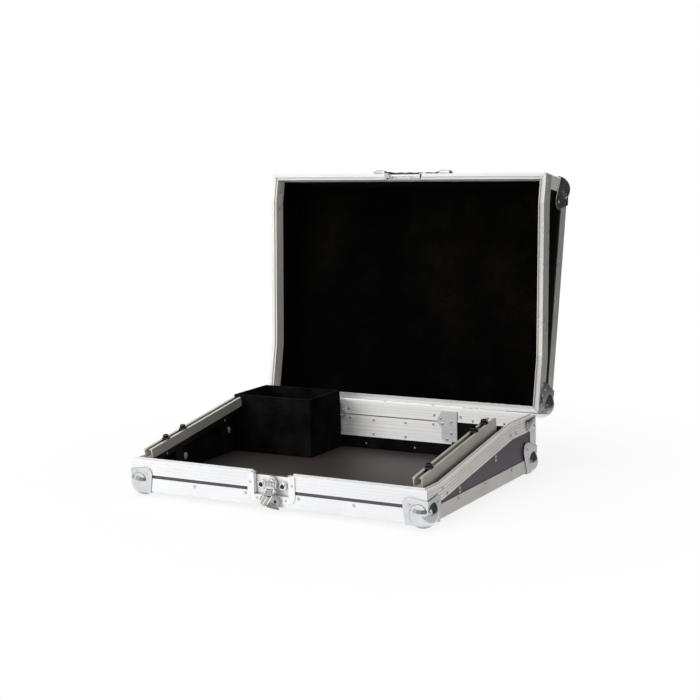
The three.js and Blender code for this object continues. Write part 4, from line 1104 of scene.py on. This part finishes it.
add_bosses()
add_drum()
add_wing()


# Rack screws: socket cap screws with cup washers, in the slot of the rails
CUP_WASHER = [
    (2.4, 0.0), (5.9, 0.0), (6.5, 0.4), (6.5, 0.9), (6.2, 1.3), (5.3, 1.9), (4.9, 1.9), (4.4, 1.4),
    (2.4, 1.3), (2.4, 0.0),
]
CAP_SCREW = [
    (0.0, 3.6), (2.1, 3.6), (2.1, 6.2), (3.9, 6.2), (4.4, 5.8), (4.5, 5.2), (4.5, 2.0), (4.2, 1.5),
    (2.3, 1.4), (2.3, -4.8), (0.0, -4.8),
]
NUT_HALF, NUT_LEVELS = 4.7, (12.9, 16.9)
SCREWS = {"left_1": 63, "left_2": 108, "right_1": 52, "right_2": 200, "right_3": 235}


def add_screw(name, place_y):
    side = -1 if name.startswith("left") else 1
    start = Matrix.Translation((side * RAIL_SPACING / 2, FRONT_FLAT, FRONT_RIM))
    lean = Matrix.Rotation(SLOPE, 4, "X")
    along = (place_y - FRONT_FLAT) / cos(SLOPE)
    base = TRAY @ start @ lean @ Matrix.Translation((0, along, RAIL_RISE + FIT))
    bm = bmesh.new()
    add_lathe(bm, CUP_WASHER, base, 40)
    add_lathe(bm, CAP_SCREW, base, 36)
    nut = [(-NUT_HALF, -NUT_HALF), (NUT_HALF, -NUT_HALF), (NUT_HALF, NUT_HALF), (-NUT_HALF, NUT_HALF)]
    low, high = (level - RAIL_RISE - FIT for level in NUT_LEVELS)
    add_plate(bm, nut, low, high, base, 0.4)
    make_piece(f"screw_{name}", bm, black_steel, f"rack_screw_{name}", [f"rack_screw_{name}"])


for screw_name, screw_place in SCREWS.items():
    add_screw(screw_name, screw_place)


# Floor, lights and background, in metres
FLOOR_REACH, FLOOR_GAP, FLOOR_SHADE = 9.0, 0.0002, 0.9
FLOOR_FADE = (0.25, 0.8, 0.84, 1.0)
BAND_RADIUS, BAND_WIDTH, BAND_LOW, BAND_HIGH = 2.4, 1.5, 0.2, 1.45
FRONT_BAND = (
    ("left_front", -128, 0.5), ("front", -94, 0.26), ("right_front", -60, 0.14), ("right", -26, 0.1),
)
FLOOR_CARDS = (
    ("floor_near", 0.264, 0.36, 0.55), ("floor_middle", 0.36, 0.5, 0.3), ("floor_far", 0.5, 1.6, 0.05),
)
CARD_FOOT = 0.001
FLOOR_CARD_FRONT, FLOOR_CARD_REAR = -0.35, 1.2
WORLD_LIGHT = 0.42
LAMP_TARGET = Vector((0, 0, 0.15))


def stage_object(name, bm):
    made = link(name, mesh_of(name, bm))
    material = bpy.data.materials.new(name)
    material.use_nodes = True
    material.node_tree.nodes.clear()
    made.data.materials.append(material)
    return made, Tree(material.node_tree)


def add_floor():
    bm = bmesh.new()
    bmesh.ops.create_grid(bm, x_segments=1, y_segments=1, size=FLOOR_REACH)
    floor, tree = stage_object("floor", bm)
    floor.location.z = cad_box[0][2] - FLOOR_GAP
    diffuse = tree.node("BsdfDiffuse", {"Color": grey(FLOOR_SHADE)}).outputs[0]
    path = tree.node("LightPath").outputs
    place = tree.node("TexCoord").outputs["Object"]
    distance = tree.node("VectorMath", {0: place}, operation="LENGTH").outputs["Value"]
    fade = tree.spread(distance, *FLOOR_FADE, interpolation_type="SMOOTHSTEP")
    seen = tree.maths("MULTIPLY", path["Is Camera Ray"], fade)
    share = tree.maths("MAXIMUM", seen, path["Is Glossy Ray"])
    tree.node("OutputMaterial", {"Surface": tree.mix_shaders(share, diffuse, tree.glow(1.0))})


def add_card(name, corners, shade):
    """A studio card that only the gloss of the metal and the panels shows."""
    bm = bmesh.new()
    bm.faces.new([bm.verts.new(corner) for corner in corners])
    card, tree = stage_object(name, bm)
    tree.node("OutputMaterial", {"Surface": tree.glow(shade)})
    for ray in ("camera", "diffuse", "shadow", "transmission", "volume_scatter"):
        setattr(card, f"visible_{ray}", False)


def upright_card(name, centre, facing_angle, width, low, high, shade):
    """A standing card. The angle is the compass direction that it lies in, from +X towards +Y."""
    along = Vector((-sin(facing_angle), cos(facing_angle), 0)) * width / 2
    left, right = Vector(centre) - along, Vector(centre) + along
    add_card(name, [
        (left.x, left.y, low), (right.x, right.y, low), (right.x, right.y, high), (left.x, left.y, high),
    ], shade)


def add_cards():
    upright_card("card_rear_right", (0.85, 0.95, 0), radians(48), 3.2, CARD_FOOT, 2.0, 0.01)
    for name, compass, shade in FRONT_BAND:
        angle = radians(compass)
        centre = (BAND_RADIUS * cos(angle), BAND_RADIUS * sin(angle), 0)
        upright_card(f"card_{name}", centre, angle, BAND_WIDTH, BAND_LOW, BAND_HIGH, shade)
    upright_card("card_left", (-1.8, 0.3, 0), radians(170), 1.4, CARD_FOOT, 0.8, 0.1)
    front, rear = FLOOR_CARD_FRONT, FLOOR_CARD_REAR
    for name, near, far, shade in FLOOR_CARDS:
        corners = [(x, y, CARD_FOOT) for x, y in ((near, front), (far, front), (far, rear), (near, rear))]
        add_card(f"card_{name}", corners, shade)


def add_world():
    world = bpy.data.worlds.new("world")
    bpy.context.scene.world = world
    world.use_nodes = True
    world.node_tree.nodes.clear()
    tree = Tree(world.node_tree)
    light, shown = (
        tree.node("Background", {"Color": grey(1.0), "Strength": strength}).outputs[0]
        for strength in (WORLD_LIGHT, 1.0)
    )
    path = tree.node("LightPath").outputs
    seen = tree.maths("MAXIMUM", path["Is Camera Ray"], path["Is Glossy Ray"])
    share = tree.maths("MAXIMUM", seen, path["Is Transmission Ray"])
    tree.node("OutputWorld", {"Surface": tree.mix_shaders(share, light, shown)})


def add_lamp(name, place, size, energy, colour=(1, 1, 1), glossy=True):
    data = bpy.data.lights.new(name, "AREA")
    data.shape = "SQUARE"
    data.size = size
    data.energy = energy
    data.color = colour
    lamp = link(name, data)
    lamp.location = place
    lamp.rotation_euler = (LAMP_TARGET - Vector(place)).to_track_quat("-Z", "Y").to_euler()
    lamp.visible_glossy = glossy


add_floor()
add_cards()
add_world()
add_lamp("key", (-1.5, -2.7, 1.1), 1.8, 62.0, glossy=False)
add_lamp("fill", (2.6, -0.9, 1.3), 1.8, 2.5, (1.0, 0.97, 0.92))
add_lamp("top", (-0.2, -0.2, 2.8), 2.2, 36.0)
bpy.context.scene.view_settings.view_transform = "Standard"
